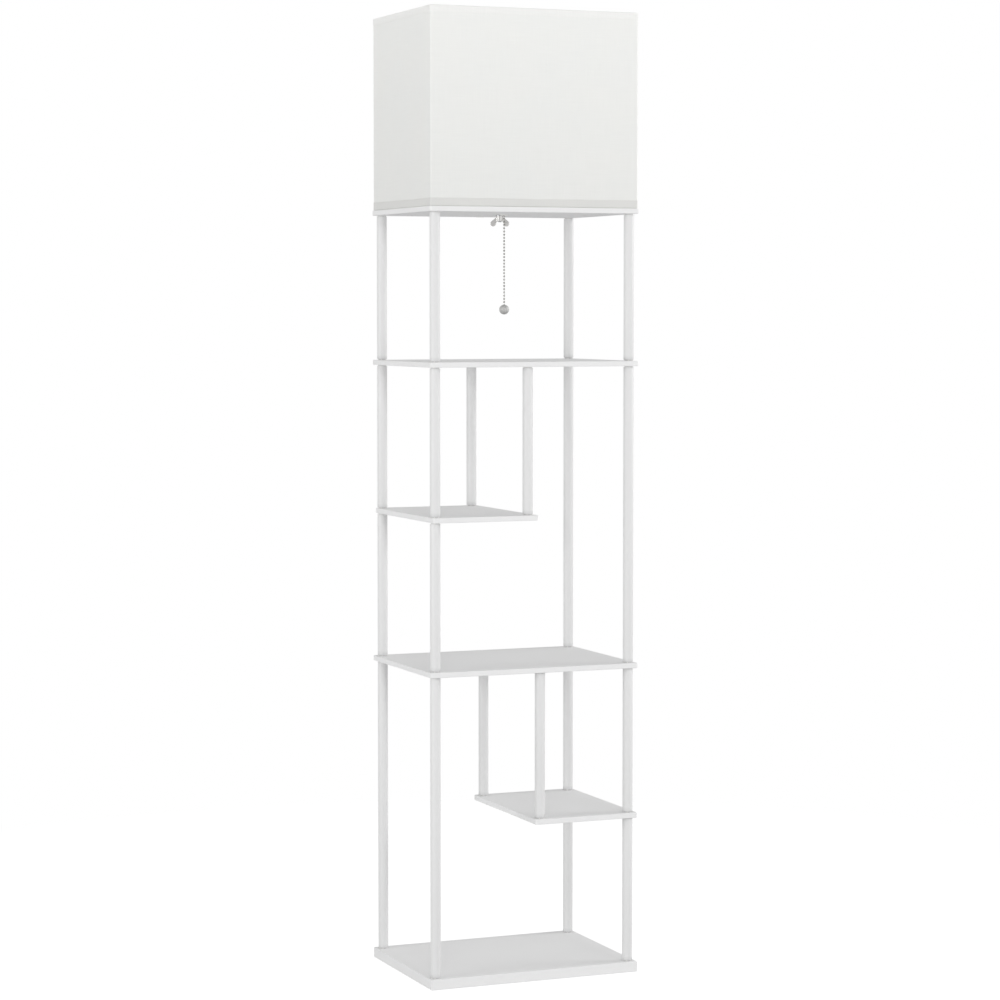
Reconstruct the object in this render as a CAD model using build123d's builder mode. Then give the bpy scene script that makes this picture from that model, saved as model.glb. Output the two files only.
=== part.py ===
from build123d import *
from math import atan2, cos, degrees, pi, sqrt
import os

os.makedirs("parts", exist_ok=True)

# White shelf floor lamp. Millimetres, +Z up, +X to the right and -Y to the front.
# The origin is the centre of the base board's underside, where the lamp meets the floor.

# Boards
shelf_width = 350
shelf_depth = 260
shelf_thickness = 8
base_thickness = 16
half_shelf_width = 175
upper_half_inset = 4.5  # the upper half shelf stops this far short of the boards' left edge
shelf_corner_radius = 4
base_corner_radius = 1
board_edge_chamfer = 0.6

# Posts: round tube with a plug in each end
post_diameter = 16
post_wall = 1
short_post_length = 230
post_inset_x = 12  # post axis to a board's side edge
post_inset_y = 13  # post axis to a board's front or back edge
lower_inner_inset = 12  # inner post axis to the lower half shelf's inner edge
upper_inner_inset = 13.5  # inner post axis to the upper half shelf's inner edge
plug_length = 18

# Fasteners
thread_diameter = 6
thread_engagement = 14  # how far a stud, bolt or screw goes into a plug
thread_clearance = 0.05
stud_hole_clearance = 0.3
bolt_head_diameter = 12
bolt_head_height = 3.5
bolt_recess = 1.5  # a bolt's head lies this deep in the base
bolt_head_clearance = 0.6
screw_head_diameter = 12
screw_head_clearance = 0.1
fastener_sides = 12

# Wing nut and washer on the lamp holder's stud
wing_span = 30
wing_height = 17  # top of the hub to the tips of the wings
wing_thickness = 2.6
wing_chamfer = 0.5
lobe_radius = 4.5
wing_root_depth = 1  # wings run this far into the hub
wing_root_margin = 1.3  # and stop this far short of its ends
wing_turn = -22
nut_hub_top_diameter = 12
nut_hub_bottom_diameter = 9.6
nut_hub_height = 9
washer_diameter = 14
washer_thickness = 1
stud_protrusion = 1.3  # stud end below the nut

# Lamp holder, behind the chain on the plate
holder_setback = 18  # holder axis behind the chain
holder_foot_diameter = 54
holder_foot_height = 4
holder_cup_diameter = 50
holder_cup_height = 26
holder_cup_taper = 1.5
holder_neck_diameter = 40
holder_neck_height = 30
holder_edge_chamfer = 1
socket_diameter = 27.8
socket_bore_depth = 36
stud_embedment = 8  # stud held in the holder's foot
liner_wall = 0.4
liner_length = 24
liner_clearance = 0.15
liner_rim_drop = 1  # liner's mouth below the holder's rim
contact_thickness = 0.5
contact_width = 6
contact_reach = 9
contact_rise = 3.2  # bulb's tip above the socket's floor
cord_inlet_diameter = 7
cord_inlet_wall = 1.8
cord_inlet_reach = 4
cord_inlet_depth = 9
cord_inlet_height = 9  # inlet axis above the plate

# Switch and chain
bead_diameter = 3.2
bead_pitch = 5.06
bead_belt = 1.4  # height of a bead's widest part
bead_mouth_diameter = 1.4  # flat lip where a link enters a bead
bead_sides = 8
link_diameter = 1
link_gap = 0.3  # running gap between a bead and the link that swings on it
pivot_drop = 6.1  # first pivot bead below the plate
lower_bead_count = 26  # the last one sits in the ball
ball_diameter = 15.6
ball_bore_clearance = 0.05
ball_bore_depth = 4
ball_bore_chamfer = 0.4
ball_sink = 1  # ball's top above the centre of the bead that it holds
plunger_diameter = 5.4
plunger_length = 7
plunger_clearance = 0.5
plunger_height = 10  # plunger's lower end above the plate

# Bushings in the plate
chain_bushing_bore = 4.8
chain_bushing_wall = 2
cord_bushing_bore = 7
cord_bushing_wall = 1.6
cord_bushing_inset = 30  # cord bushing's axis to the plate's back edge
bushing_flange_reach = 2
bushing_flange_height = 1.2
bushing_clearance = 0.1

# Shade
shade_height = 304
shade_gap_x = 1  # shade stands in from the plate's side edges
shade_gap_y = 3  # and from its front and back edges
shade_corner_radius = 2
skin_thickness = 0.8
hem_thickness = 0.5
top_hem_height = 10.5
bottom_hem_height = 12.6
hem_inner_height = 8
frame_wire_diameter = 3
wire_sides = 8
wire_bend_radius = 2.2
wire_clearance = 0.2
fitter_ring_thickness = 1.5
fitter_ring_diameter = 55
fitter_clearance = 0.4
fitter_weld = 1  # arms start this far inside the ring
arm_shoulder = 14  # flat stretch of an arm beside the ring
arm_foot = 22  # flat stretch of an arm beside the wire
arm_slot_clearance = 0.6
shade_ring_diameter = 52
shade_ring_height = 9
shade_ring_clearance = 0.15
grip_count = 12
grip_diameter = 5

# Bulb
bulb_base_diameter = 26.4
bulb_base_length = 26
bulb_base_wall = 0.5
bulb_base_cone = 4  # height of the taper at the base's lower end
bulb_contact_diameter = 9
bulb_contact_height = 2.4
bulb_collar_diameter = 26
bulb_collar_gap = 1  # the housing starts to flare this far above the holder's rim
bulb_housing_diameter = 44
bulb_housing_height = 26
bulb_housing_wall = 1.6
bulb_globe_diameter = 60
bulb_globe_wall = 1.2
globe_bands = 8  # the globe and the flare of its housing are rings of cones
flare_bands = 4

# Levels
base_top = base_thickness
lower_half_bottom = base_top + short_post_length
lower_half_top = lower_half_bottom + shelf_thickness
middle_bottom = lower_half_top + short_post_length
middle_top = middle_bottom + shelf_thickness
upper_half_bottom = middle_top + short_post_length
upper_half_top = upper_half_bottom + shelf_thickness
top_shelf_bottom = upper_half_top + short_post_length
top_shelf_top = top_shelf_bottom + shelf_thickness
plate_bottom = top_shelf_top + short_post_length
plate_top = plate_bottom + shelf_thickness
shade_top = plate_top + shade_height

# Edges and post axes
right_edge = shelf_width / 2
left_edge = -right_edge
lower_half_left = right_edge - half_shelf_width
upper_half_left = left_edge + upper_half_inset
upper_half_right = upper_half_left + half_shelf_width
post_x = right_edge - post_inset_x
post_y = shelf_depth / 2 - post_inset_y
lower_inner_x = lower_half_left + lower_inner_inset
upper_inner_x = upper_half_right - upper_inner_inset

corner_spots = [(-post_x, -post_y), (-post_x, post_y), (post_x, -post_y), (post_x, post_y)]
left_spots = [(-post_x, -post_y), (-post_x, post_y)]
right_spots = [(post_x, -post_y), (post_x, post_y)]
lower_inner_spots = [(lower_inner_x, -post_y), (lower_inner_x, post_y)]
upper_inner_spots = [(upper_inner_x, -post_y), (upper_inner_x, post_y)]

# Radii that several pieces share
thread_radius = thread_diameter / 2
stud_hole_radius = thread_radius + stud_hole_clearance
tube_bore_radius = post_diameter / 2 - post_wall
plug_radius = tube_bore_radius - thread_clearance
bead_radius = bead_diameter / 2
link_radius = link_diameter / 2


def board_blank(left, right, bottom, thickness, corner_radius):
    """A board with rounded corners and eased rims."""
    with BuildPart() as board:
        with BuildSketch(Plane.XY.offset(bottom)):
            with Locations(((left + right) / 2, 0)):
                RectangleRounded(right - left, shelf_depth, corner_radius)
        extrude(amount=thickness)
        rims = board.faces().filter_by(Axis.Z).edges()
        chamfer(rims, min(board_edge_chamfer, thickness / 4))
    return board


def copies(template, spots):
    """One node of separate, identical solids, with a copy of the template at each spot."""
    with BuildPart() as group:
        with Locations(*spots):
            add(template.part)
    return group


# Base board: bolts come up through it, their heads let into its underside.
bolt_recess_depth = bolt_recess + bolt_head_height
bolt_recess_radius = bolt_head_diameter / 2 + bolt_head_clearance
with BuildPart() as base_board:
    add(board_blank(left_edge, right_edge, 0, base_thickness, base_corner_radius).part)
    with Locations(*[Location((x, y, 0), (180, 0, 0)) for x, y in corner_spots]):
        CounterBoreHole(stud_hole_radius, bolt_recess_radius, bolt_recess_depth)
base_board.part.label = "base_board"
export_step(base_board.part, "parts/base_board.step")

# Lower half shelf: studs pass on its right side, countersunk screws hold the inner posts.
with BuildPart() as lower_half_shelf:
    add(board_blank(lower_half_left, right_edge, lower_half_bottom, shelf_thickness, shelf_corner_radius).part)
    with Locations(*[(x, y, lower_half_top) for x, y in right_spots]):
        Hole(stud_hole_radius)
    with Locations(*[Location((x, y, lower_half_bottom), (180, 0, 0)) for x, y in lower_inner_spots]):
        CounterSinkHole(stud_hole_radius, screw_head_diameter / 2, counter_sink_angle=90)
lower_half_shelf.part.label = "lower_half_shelf"
export_step(lower_half_shelf.part, "parts/lower_half_shelf.step")

# Middle shelf: studs at the corners, screws down into the lower inner posts.
with BuildPart() as middle_shelf:
    add(board_blank(left_edge, right_edge, middle_bottom, shelf_thickness, shelf_corner_radius).part)
    with Locations(*[(x, y, middle_top) for x, y in corner_spots]):
        Hole(stud_hole_radius)
    with Locations(*[(x, y, middle_top) for x, y in lower_inner_spots]):
        CounterSinkHole(stud_hole_radius, screw_head_diameter / 2, counter_sink_angle=90)
middle_shelf.part.label = "middle_shelf"
export_step(middle_shelf.part, "parts/middle_shelf.step")

# Upper half shelf: studs pass on its left side, countersunk screws hold the inner posts.
with BuildPart() as upper_half_shelf:
    add(
        board_blank(
            upper_half_left, upper_half_right, upper_half_bottom, shelf_thickness, shelf_corner_radius
        ).part
    )
    with Locations(*[(x, y, upper_half_top) for x, y in left_spots]):
        Hole(stud_hole_radius)
    with Locations(*[Location((x, y, upper_half_bottom), (180, 0, 0)) for x, y in upper_inner_spots]):
        CounterSinkHole(stud_hole_radius, screw_head_diameter / 2, counter_sink_angle=90)
upper_half_shelf.part.label = "upper_half_shelf"
export_step(upper_half_shelf.part, "parts/upper_half_shelf.step")

# Top shelf: studs at the corners, screws down into the upper inner posts.
with BuildPart() as top_shelf:
    add(board_blank(left_edge, right_edge, top_shelf_bottom, shelf_thickness, shelf_corner_radius).part)
    with Locations(*[(x, y, top_shelf_top) for x, y in corner_spots]):
        Hole(stud_hole_radius)
    with Locations(*[(x, y, top_shelf_top) for x, y in upper_inner_spots]):
        CounterSinkHole(stud_hole_radius, screw_head_diameter / 2, counter_sink_angle=90)
top_shelf.part.label = "top_shelf"
export_step(top_shelf.part, "parts/top_shelf.step")

# Lamp plate: screws down into the top posts, and holes for the holder's stud and two bushings.
chain_bushing_radius = chain_bushing_bore / 2 + chain_bushing_wall
cord_bushing_radius = cord_bushing_bore / 2 + cord_bushing_wall
cord_bushing_y = shelf_depth / 2 - cord_bushing_inset
with BuildPart() as lamp_plate:
    add(board_blank(left_edge, right_edge, plate_bottom, shelf_thickness, shelf_corner_radius).part)
    with Locations(*[(x, y, plate_top) for x, y in corner_spots]):
        CounterSinkHole(stud_hole_radius, screw_head_diameter / 2, counter_sink_angle=90)
    with Locations((0, holder_setback, plate_top)):
        Hole(stud_hole_radius)
    with Locations((0, 0, plate_top)):
        Hole(chain_bushing_radius + bushing_clearance)
    with Locations((0, cord_bushing_y, plate_top)):
        Hole(cord_bushing_radius + bushing_clearance)
lamp_plate.part.label = "lamp_plate"
export_step(lamp_plate.part, "parts/lamp_plate.step")

# Posts: each stands on one board and carries the next; the long ones pass beside a half shelf.
post_runs = [
    ("post_base_left", -post_x, base_top, middle_bottom),
    ("post_base_right", post_x, base_top, lower_half_bottom),
    ("post_lower_right", post_x, lower_half_top, middle_bottom),
    ("post_lower_inner", lower_inner_x, lower_half_top, middle_bottom),
    ("post_middle_left", -post_x, middle_top, upper_half_bottom),
    ("post_middle_right", post_x, middle_top, top_shelf_bottom),
    ("post_upper_left", -post_x, upper_half_top, top_shelf_bottom),
    ("post_upper_inner", upper_inner_x, upper_half_top, top_shelf_bottom),
    ("post_top_left", -post_x, top_shelf_top, plate_bottom),
    ("post_top_right", post_x, top_shelf_top, plate_bottom),
]
post_rows = [("front", -post_y), ("back", post_y)]
plug_spots = []
for run_name, x, bottom, top in post_runs:
    for row_name, y in post_rows:
        with BuildPart() as post:
            with BuildSketch(Plane.XY.offset(bottom)):
                with Locations((x, y)):
                    Circle(post_diameter / 2)
                    Circle(tube_bore_radius, mode=Mode.SUBTRACT)
            extrude(amount=top - bottom)
        post.part.label = f"{run_name}_{row_name}"
        export_step(post.part, f"parts/{run_name}_{row_name}.step")
        plug_spots += [(x, y, bottom), (x, y, top - plug_length)]

# Post plugs: six-sided nylon plugs pressed into the tube ends, flush with them. The threads of the
# studs, bolts and screws cut into the flats of their six-sided cores.
with BuildPart() as plug:
    with BuildSketch():
        RegularPolygon(plug_radius, 6)
        RegularPolygon(thread_radius + thread_clearance, 6, major_radius=False, mode=Mode.SUBTRACT)
    extrude(amount=plug_length)
post_plugs = copies(plug, plug_spots)
post_plugs.part.label = "post_plugs"
export_step(post_plugs.part, "parts/post_plugs.step")

# Through studs: double-ended, one half in the post below a board and one in the post above.
with BuildPart() as stud:
    with BuildSketch(Plane.XY.offset(-thread_engagement)):
        RegularPolygon(thread_radius, fastener_sides)
    extrude(amount=shelf_thickness + 2 * thread_engagement)
stud_spots = [(x, y, lower_half_bottom) for x, y in right_spots]
stud_spots += [(x, y, middle_bottom) for x, y in corner_spots]
stud_spots += [(x, y, upper_half_bottom) for x, y in left_spots]
stud_spots += [(x, y, top_shelf_bottom) for x, y in corner_spots]
through_studs = copies(stud, stud_spots)
through_studs.part.label = "through_studs"
export_step(through_studs.part, "parts/through_studs.step")

# Base bolts: flat heads, let into the base board from below.
bolt_shank_length = base_thickness - bolt_recess_depth + thread_engagement
with BuildPart() as base_bolt:
    with BuildSketch(Plane.XY.offset(bolt_recess)):
        RegularPolygon(bolt_head_diameter / 2, fastener_sides)
    extrude(amount=bolt_head_height)
    with BuildSketch(Plane.XY.offset(bolt_recess_depth)):
        RegularPolygon(thread_radius, fastener_sides)
    extrude(amount=bolt_shank_length)
base_bolts = copies(base_bolt, [(x, y, 0) for x, y in corner_spots])
base_bolts.part.label = "base_bolts"
export_step(base_bolts.part, "parts/base_bolts.step")

# Countersunk screws: heads flush with a board, shanks through it into a post's plug.
screw_head_radius = screw_head_diameter / 2 - screw_head_clearance
with BuildPart() as flat_screw:
    with BuildSketch():
        RegularPolygon(thread_radius, fastener_sides)
    extrude(amount=-(shelf_thickness + thread_engagement))
    with BuildSketch():
        RegularPolygon(screw_head_radius, fastener_sides)
    extrude(amount=-(screw_head_radius - thread_radius), taper=45)
inner_screw_spots = [Location((x, y, lower_half_bottom), (180, 0, 0)) for x, y in lower_inner_spots]
inner_screw_spots += [Location((x, y, middle_top)) for x, y in lower_inner_spots]
inner_screw_spots += [Location((x, y, upper_half_bottom), (180, 0, 0)) for x, y in upper_inner_spots]
inner_screw_spots += [Location((x, y, top_shelf_top)) for x, y in upper_inner_spots]
inner_post_screws = copies(flat_screw, inner_screw_spots)
inner_post_screws.part.label = "inner_post_screws"
export_step(inner_post_screws.part, "parts/inner_post_screws.step")

plate_screws = copies(flat_screw, [(x, y, plate_top) for x, y in corner_spots])
plate_screws.part.label = "plate_screws"
export_step(plate_screws.part, "parts/plate_screws.step")

# Bushings: a flange under the plate and a sleeve up through it.
with BuildPart() as chain_bushing:
    with BuildSketch(Plane.XY.offset(plate_bottom - bushing_flange_height)):
        Circle(chain_bushing_radius + bushing_flange_reach)
    extrude(amount=bushing_flange_height)
    with BuildSketch(Plane.XY.offset(plate_bottom)):
        Circle(chain_bushing_radius)
    extrude(amount=shelf_thickness)
    with Locations((0, 0, plate_top)):
        Hole(chain_bushing_bore / 2)
chain_bushing.part.label = "chain_bushing"
export_step(chain_bushing.part, "parts/chain_bushing.step")

with BuildPart() as cord_bushing:
    with BuildSketch(Plane.XY.offset(plate_bottom - bushing_flange_height)):
        with Locations((0, cord_bushing_y)):
            Circle(cord_bushing_radius + bushing_flange_reach)
    extrude(amount=bushing_flange_height)
    with BuildSketch(Plane.XY.offset(plate_bottom)):
        with Locations((0, cord_bushing_y)):
            Circle(cord_bushing_radius)
    extrude(amount=shelf_thickness)
    with Locations((0, cord_bushing_y, plate_top)):
        Hole(cord_bushing_bore / 2)
cord_bushing.part.label = "cord_bushing"
export_step(cord_bushing.part, "parts/cord_bushing.step")

# Lamp holder: a cup with the switch in it, a threaded neck above, and a cord inlet at the back.
holder_plane = Plane(origin=(0, holder_setback, 0), x_dir=(1, 0, 0), z_dir=(0, -1, 0))
holder_axis = Axis((0, holder_setback, 0), (0, 0, 1))
holder_shoulder = plate_top + holder_cup_height
holder_rim = holder_shoulder + holder_neck_height
socket_bottom = holder_rim - socket_bore_depth
stud_top = plate_top + stud_embedment
holder_cup_top_radius = holder_cup_diameter / 2 - holder_cup_taper
inlet_mouth = holder_setback + holder_cup_diameter / 2 + cord_inlet_reach
with BuildPart() as holder_body:
    with BuildSketch(holder_plane):
        with BuildLine():
            Polyline(
                (0, plate_top),
                (holder_foot_diameter / 2, plate_top),
                (holder_foot_diameter / 2, plate_top + holder_foot_height - holder_edge_chamfer),
                (holder_foot_diameter / 2 - holder_edge_chamfer, plate_top + holder_foot_height),
                (holder_cup_diameter / 2, plate_top + holder_foot_height),
                (holder_cup_top_radius, holder_shoulder - holder_edge_chamfer),
                (holder_cup_top_radius - holder_edge_chamfer, holder_shoulder),
                (holder_neck_diameter / 2, holder_shoulder),
                (holder_neck_diameter / 2, holder_rim),
                (0, holder_rim),
                close=True,
            )
        make_face()
    revolve(axis=holder_axis)
    inlet_plane = Plane(
        origin=(0, inlet_mouth, plate_top + cord_inlet_height), x_dir=(1, 0, 0), z_dir=(0, 1, 0)
    )
    with BuildSketch(inlet_plane):
        Circle(cord_inlet_diameter / 2 + cord_inlet_wall)
    extrude(amount=-(cord_inlet_reach + cord_inlet_depth))
    with BuildSketch(inlet_plane):
        Circle(cord_inlet_diameter / 2)
    extrude(amount=-(cord_inlet_reach + cord_inlet_depth), mode=Mode.SUBTRACT)
    with Locations((0, holder_setback, holder_rim)):
        Hole(socket_diameter / 2 + liner_clearance, depth=socket_bore_depth)
    with Locations(Location((0, 0, plate_top), (180, 0, 0))):
        Hole(plunger_diameter / 2 + plunger_clearance, depth=plunger_height + plunger_length + plunger_clearance)
    with Locations(Location((0, holder_setback, plate_top), (180, 0, 0))):
        Hole(thread_radius + thread_clearance, depth=stud_embedment)
holder_body.part.label = "holder_body"
export_step(holder_body.part, "parts/holder_body.step")

# Fixing stud: moulded into the holder's foot and passed down through the plate to the wing nut.
nut_hub_top = plate_bottom - washer_thickness
nut_hub_bottom = nut_hub_top - nut_hub_height
stud_bottom = nut_hub_bottom - stud_protrusion
with BuildPart() as holder_stud:
    with BuildSketch(Plane.XY.offset(stud_bottom)):
        with Locations((0, holder_setback)):
            Circle(thread_radius)
    extrude(amount=stud_top - stud_bottom)
holder_stud.part.label = "holder_stud"
export_step(holder_stud.part, "parts/holder_stud.step")

# Washer between the wing nut and the plate.
with BuildPart() as washer:
    with BuildSketch(Plane.XY.offset(nut_hub_top)):
        with Locations((0, holder_setback)):
            Circle(washer_diameter / 2)
            Circle(stud_hole_radius, mode=Mode.SUBTRACT)
    extrude(amount=washer_thickness)
washer.part.label = "washer"
export_step(washer.part, "parts/washer.step")

# Wing nut: a tapered hub with two wings that spread outwards and down.
wing_tip_z = nut_hub_top - wing_height
wing_heading = Vector(1, 0, 0).rotate(Axis.Z, wing_turn)
nut_plane = Plane(
    origin=(0, holder_setback, 0), x_dir=wing_heading, z_dir=wing_heading.cross(Vector(0, 0, 1))
)
lobe_centre = (wing_span / 2 - lobe_radius, wing_tip_z + lobe_radius)
wing_root_x = nut_hub_bottom_diameter / 2 - wing_root_depth
with BuildPart() as wing_nut:
    with BuildSketch(nut_plane):
        with BuildLine():
            CenterArc(lobe_centre, lobe_radius, 0, 360)
            Line(
                (wing_root_x, nut_hub_bottom + wing_root_margin),
                (wing_root_x, nut_hub_top - wing_root_margin),
            )
        make_hull()
        mirror(about=Plane.YZ)
    extrude(amount=wing_thickness / 2, both=True)
    wing_rims = wing_nut.faces().filter_by(Axis(nut_plane.origin, nut_plane.z_dir)).edges()
    chamfer(wing_rims, min(wing_chamfer, wing_thickness / 4))
    with BuildSketch(nut_plane):
        with BuildLine():
            Polyline(
                (0, nut_hub_bottom),
                (nut_hub_bottom_diameter / 2, nut_hub_bottom),
                (nut_hub_top_diameter / 2, nut_hub_top - 2),
                (nut_hub_top_diameter / 2, nut_hub_top),
                (0, nut_hub_top),
                close=True,
            )
        make_face()
    revolve(axis=holder_axis)
    with Locations((0, holder_setback, nut_hub_top)):
        Hole(thread_radius + thread_clearance)
wing_nut.part.label = "wing_nut"
export_step(wing_nut.part, "parts/wing_nut.step")

# Screw liner: thin sleeve in the socket's bore.
socket_radius = socket_diameter / 2
with BuildPart() as screw_liner:
    with BuildSketch(Plane.XY.offset(holder_rim - liner_rim_drop - liner_length)):
        with Locations((0, holder_setback)):
            Circle(socket_radius)
            Circle(socket_radius - liner_wall, mode=Mode.SUBTRACT)
    extrude(amount=liner_length)
screw_liner.part.label = "screw_liner"
export_step(screw_liner.part, "parts/screw_liner.step")

# Centre contact: a sprung tongue that rises from the socket's floor to the bulb's tip.
bulb_tip = socket_bottom + contact_rise
contact_low = socket_bottom + contact_thickness / 2 + thread_clearance
contact_high = bulb_tip - contact_thickness / 2 - thread_clearance
with BuildPart() as centre_contact:
    with BuildSketch(holder_plane):
        with BuildLine():
            Polyline(
                (-contact_reach, contact_low),
                (-contact_reach / 2, contact_low),
                (0, contact_high),
                (contact_reach / 4, contact_high),
            )
        trace(line_width=contact_thickness)
    extrude(amount=contact_width / 2, both=True)
centre_contact.part.label = "centre_contact"
export_step(centre_contact.part, "parts/centre_contact.step")

# Shade ring: screws down the holder's neck onto the fitter, with scallops for the fingers.
fitter_top = holder_shoulder + fitter_ring_thickness
with BuildPart() as shade_ring:
    with BuildSketch(Plane.XY.offset(fitter_top)):
        with Locations((0, holder_setback)):
            Circle(shade_ring_diameter / 2)
            Circle(holder_neck_diameter / 2 + shade_ring_clearance, mode=Mode.SUBTRACT)
            with PolarLocations(shade_ring_diameter / 2 + grip_diameter / 4, grip_count):
                Circle(grip_diameter / 2, mode=Mode.SUBTRACT)
    extrude(amount=shade_ring_height)
shade_ring.part.label = "shade_ring"
export_step(shade_ring.part, "parts/shade_ring.step")

# Bulb contact: the tip that rests on the holder's centre contact.
bulb_base_bottom = bulb_tip + bulb_contact_height
with BuildPart() as bulb_contact:
    with BuildSketch(Plane.XY.offset(bulb_tip)):
        with Locations((0, holder_setback)):
            Circle(bulb_contact_diameter / 2)
    extrude(amount=bulb_contact_height)
bulb_contact.part.label = "bulb_contact"
export_step(bulb_contact.part, "parts/bulb_contact.step")

# Bulb base: a thin screw shell, tapered to the contact.
bulb_base_radius = bulb_base_diameter / 2
bulb_base_top = bulb_base_bottom + bulb_base_length
with BuildPart() as bulb_base:
    with BuildSketch(holder_plane):
        with BuildLine():
            Polyline(
                (0, bulb_base_bottom),
                (bulb_contact_diameter / 2, bulb_base_bottom),
                (bulb_base_radius, bulb_base_bottom + bulb_base_cone),
                (bulb_base_radius, bulb_base_top),
                (bulb_base_radius - bulb_base_wall, bulb_base_top),
                (bulb_base_radius - bulb_base_wall, bulb_base_bottom + bulb_base_cone + bulb_base_wall),
                (bulb_contact_diameter / 2, bulb_base_bottom + bulb_base_wall),
                (0, bulb_base_bottom + bulb_base_wall),
                close=True,
            )
        make_face()
    revolve(axis=holder_axis)
bulb_base.part.label = "bulb_base"
export_step(bulb_base.part, "parts/bulb_base.step")

# Bulb housing: a collar in the base that flares out to the globe.
collar_radius = bulb_collar_diameter / 2
flare_bottom = holder_rim + bulb_collar_gap
flare_top = flare_bottom + bulb_housing_height
flare_radius = bulb_housing_diameter / 2
flare_curve = TangentArc((collar_radius, flare_bottom), (flare_radius, flare_top), tangent=(0, 1))
flare_outside = [flare_curve @ (band / flare_bands) for band in range(flare_bands + 1)]
flare_inside = [point - Vector(bulb_housing_wall, 0) for point in reversed(flare_outside)]
with BuildPart() as bulb_housing:
    with BuildSketch(holder_plane):
        with BuildLine():
            Polyline(
                (collar_radius, bulb_base_top),
                *flare_outside,
                *flare_inside,
                (collar_radius - bulb_housing_wall, bulb_base_top),
                close=True,
            )
        make_face()
    revolve(axis=holder_axis)
bulb_housing.part.label = "bulb_housing"
export_step(bulb_housing.part, "parts/bulb_housing.step")

# Bulb globe: a thin frosted shell on the housing's rim.
globe_radius = bulb_globe_diameter / 2
globe_rise = sqrt(globe_radius**2 - flare_radius**2)
globe_centre = (0, flare_top + globe_rise)
globe_start = -degrees(atan2(globe_rise, flare_radius))
globe_outside, globe_inside = [
    CenterArc(globe_centre, radius, globe_start, 90 - globe_start)
    for radius in (globe_radius, globe_radius - bulb_globe_wall)
]
globe_steps = [band / globe_bands for band in range(globe_bands + 1)]
with BuildPart() as bulb_globe:
    with BuildSketch(holder_plane):
        with BuildLine():
            Polyline(
                *[globe_outside @ step for step in globe_steps],
                *[globe_inside @ step for step in reversed(globe_steps)],
                close=True,
            )
        make_face()
    revolve(axis=holder_axis)
bulb_globe.part.label = "bulb_globe"
export_step(bulb_globe.part, "parts/bulb_globe.step")

# Shade: a stiffened linen skin, folded hems over two wires, and arms to the holder.
shade_half_x = right_edge - shade_gap_x
shade_half_y = shelf_depth / 2 - shade_gap_y
hem_depth = 2 * hem_thickness + skin_thickness + frame_wire_diameter + 2 * wire_clearance
wire_radius = frame_wire_diameter / 2
wire_inset = hem_thickness + skin_thickness + wire_clearance + wire_radius
wire_half_x = shade_half_x - wire_inset
wire_half_y = shade_half_y - wire_inset
bottom_wire_level = plate_top + hem_thickness + wire_clearance + wire_radius
top_wire_level = shade_top - hem_thickness - wire_clearance - wire_radius


def shade_band(bottom, height, outer_inset, inner_inset, mode=Mode.ADD):
    """A rectangular band between two insets from the shade's outside."""
    with BuildSketch(Plane.XY.offset(bottom)) as band:
        for inset, band_mode in ((outer_inset, Mode.ADD), (inner_inset, Mode.SUBTRACT)):
            RectangleRounded(
                2 * (shade_half_x - inset),
                2 * (shade_half_y - inset),
                max(shade_corner_radius - inset, hem_thickness),
                mode=band_mode,
            )
    extrude(band.sketch, amount=height, mode=mode)


with BuildPart() as shade_skin:
    shade_band(
        plate_top + hem_thickness,
        shade_height - 2 * hem_thickness,
        hem_thickness,
        hem_thickness + skin_thickness,
    )
shade_skin.part.label = "shade_skin"
export_step(shade_skin.part, "parts/shade_skin.step")

top_hem_bottom = shade_top - top_hem_height
with BuildPart() as shade_top_hem:
    shade_band(top_hem_bottom, top_hem_height, 0, hem_depth)
    shade_band(
        top_hem_bottom,
        top_hem_height - hem_thickness,
        hem_thickness,
        hem_depth - hem_thickness,
        Mode.SUBTRACT,
    )
    shade_band(
        top_hem_bottom,
        top_hem_height - hem_inner_height,
        hem_depth - hem_thickness,
        hem_depth,
        Mode.SUBTRACT,
    )
shade_top_hem.part.label = "shade_top_hem"
export_step(shade_top_hem.part, "parts/shade_top_hem.step")

arm_slot_width = frame_wire_diameter + 2 * arm_slot_clearance
arm_slot_top = bottom_wire_level + wire_radius + arm_slot_clearance
arm_slot_bottom = plate_top + hem_thickness
with BuildPart() as shade_bottom_hem:
    shade_band(plate_top, bottom_hem_height, 0, hem_depth)
    shade_band(
        plate_top + hem_thickness,
        bottom_hem_height - hem_thickness,
        hem_thickness,
        hem_depth - hem_thickness,
        Mode.SUBTRACT,
    )
    shade_band(
        plate_top + hem_inner_height,
        bottom_hem_height - hem_inner_height,
        hem_depth - hem_thickness,
        hem_depth,
        Mode.SUBTRACT,
    )
    with BuildSketch(Plane.XY.offset(arm_slot_bottom)):
        with Locations((0, holder_setback)):
            Rectangle(2 * (shade_half_x - hem_depth / 2), arm_slot_width)
        Rectangle(arm_slot_width, 2 * (shade_half_y - hem_depth / 2))
    extrude(amount=arm_slot_top - arm_slot_bottom, mode=Mode.SUBTRACT)
shade_bottom_hem.part.label = "shade_bottom_hem"
export_step(shade_bottom_hem.part, "parts/shade_bottom_hem.step")


def frame_wire(level):
    """The rectangular wire that stretches a hem, bent at its corners."""
    with BuildSketch(Plane.XY.offset(level)) as outline:
        RectangleRounded(2 * wire_half_x, 2 * wire_half_y, wire_bend_radius)
    route = outline.sketch.faces()[0].outer_wire()
    with BuildPart() as ring:
        with BuildSketch(Plane(origin=route @ 0, z_dir=route % 0)):
            RegularPolygon(wire_radius, wire_sides)
        sweep(path=route)
    return ring


shade_top_wire = frame_wire(top_wire_level)
shade_top_wire.part.label = "shade_top_wire"
export_step(shade_top_wire.part, "parts/shade_top_wire.step")

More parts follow.
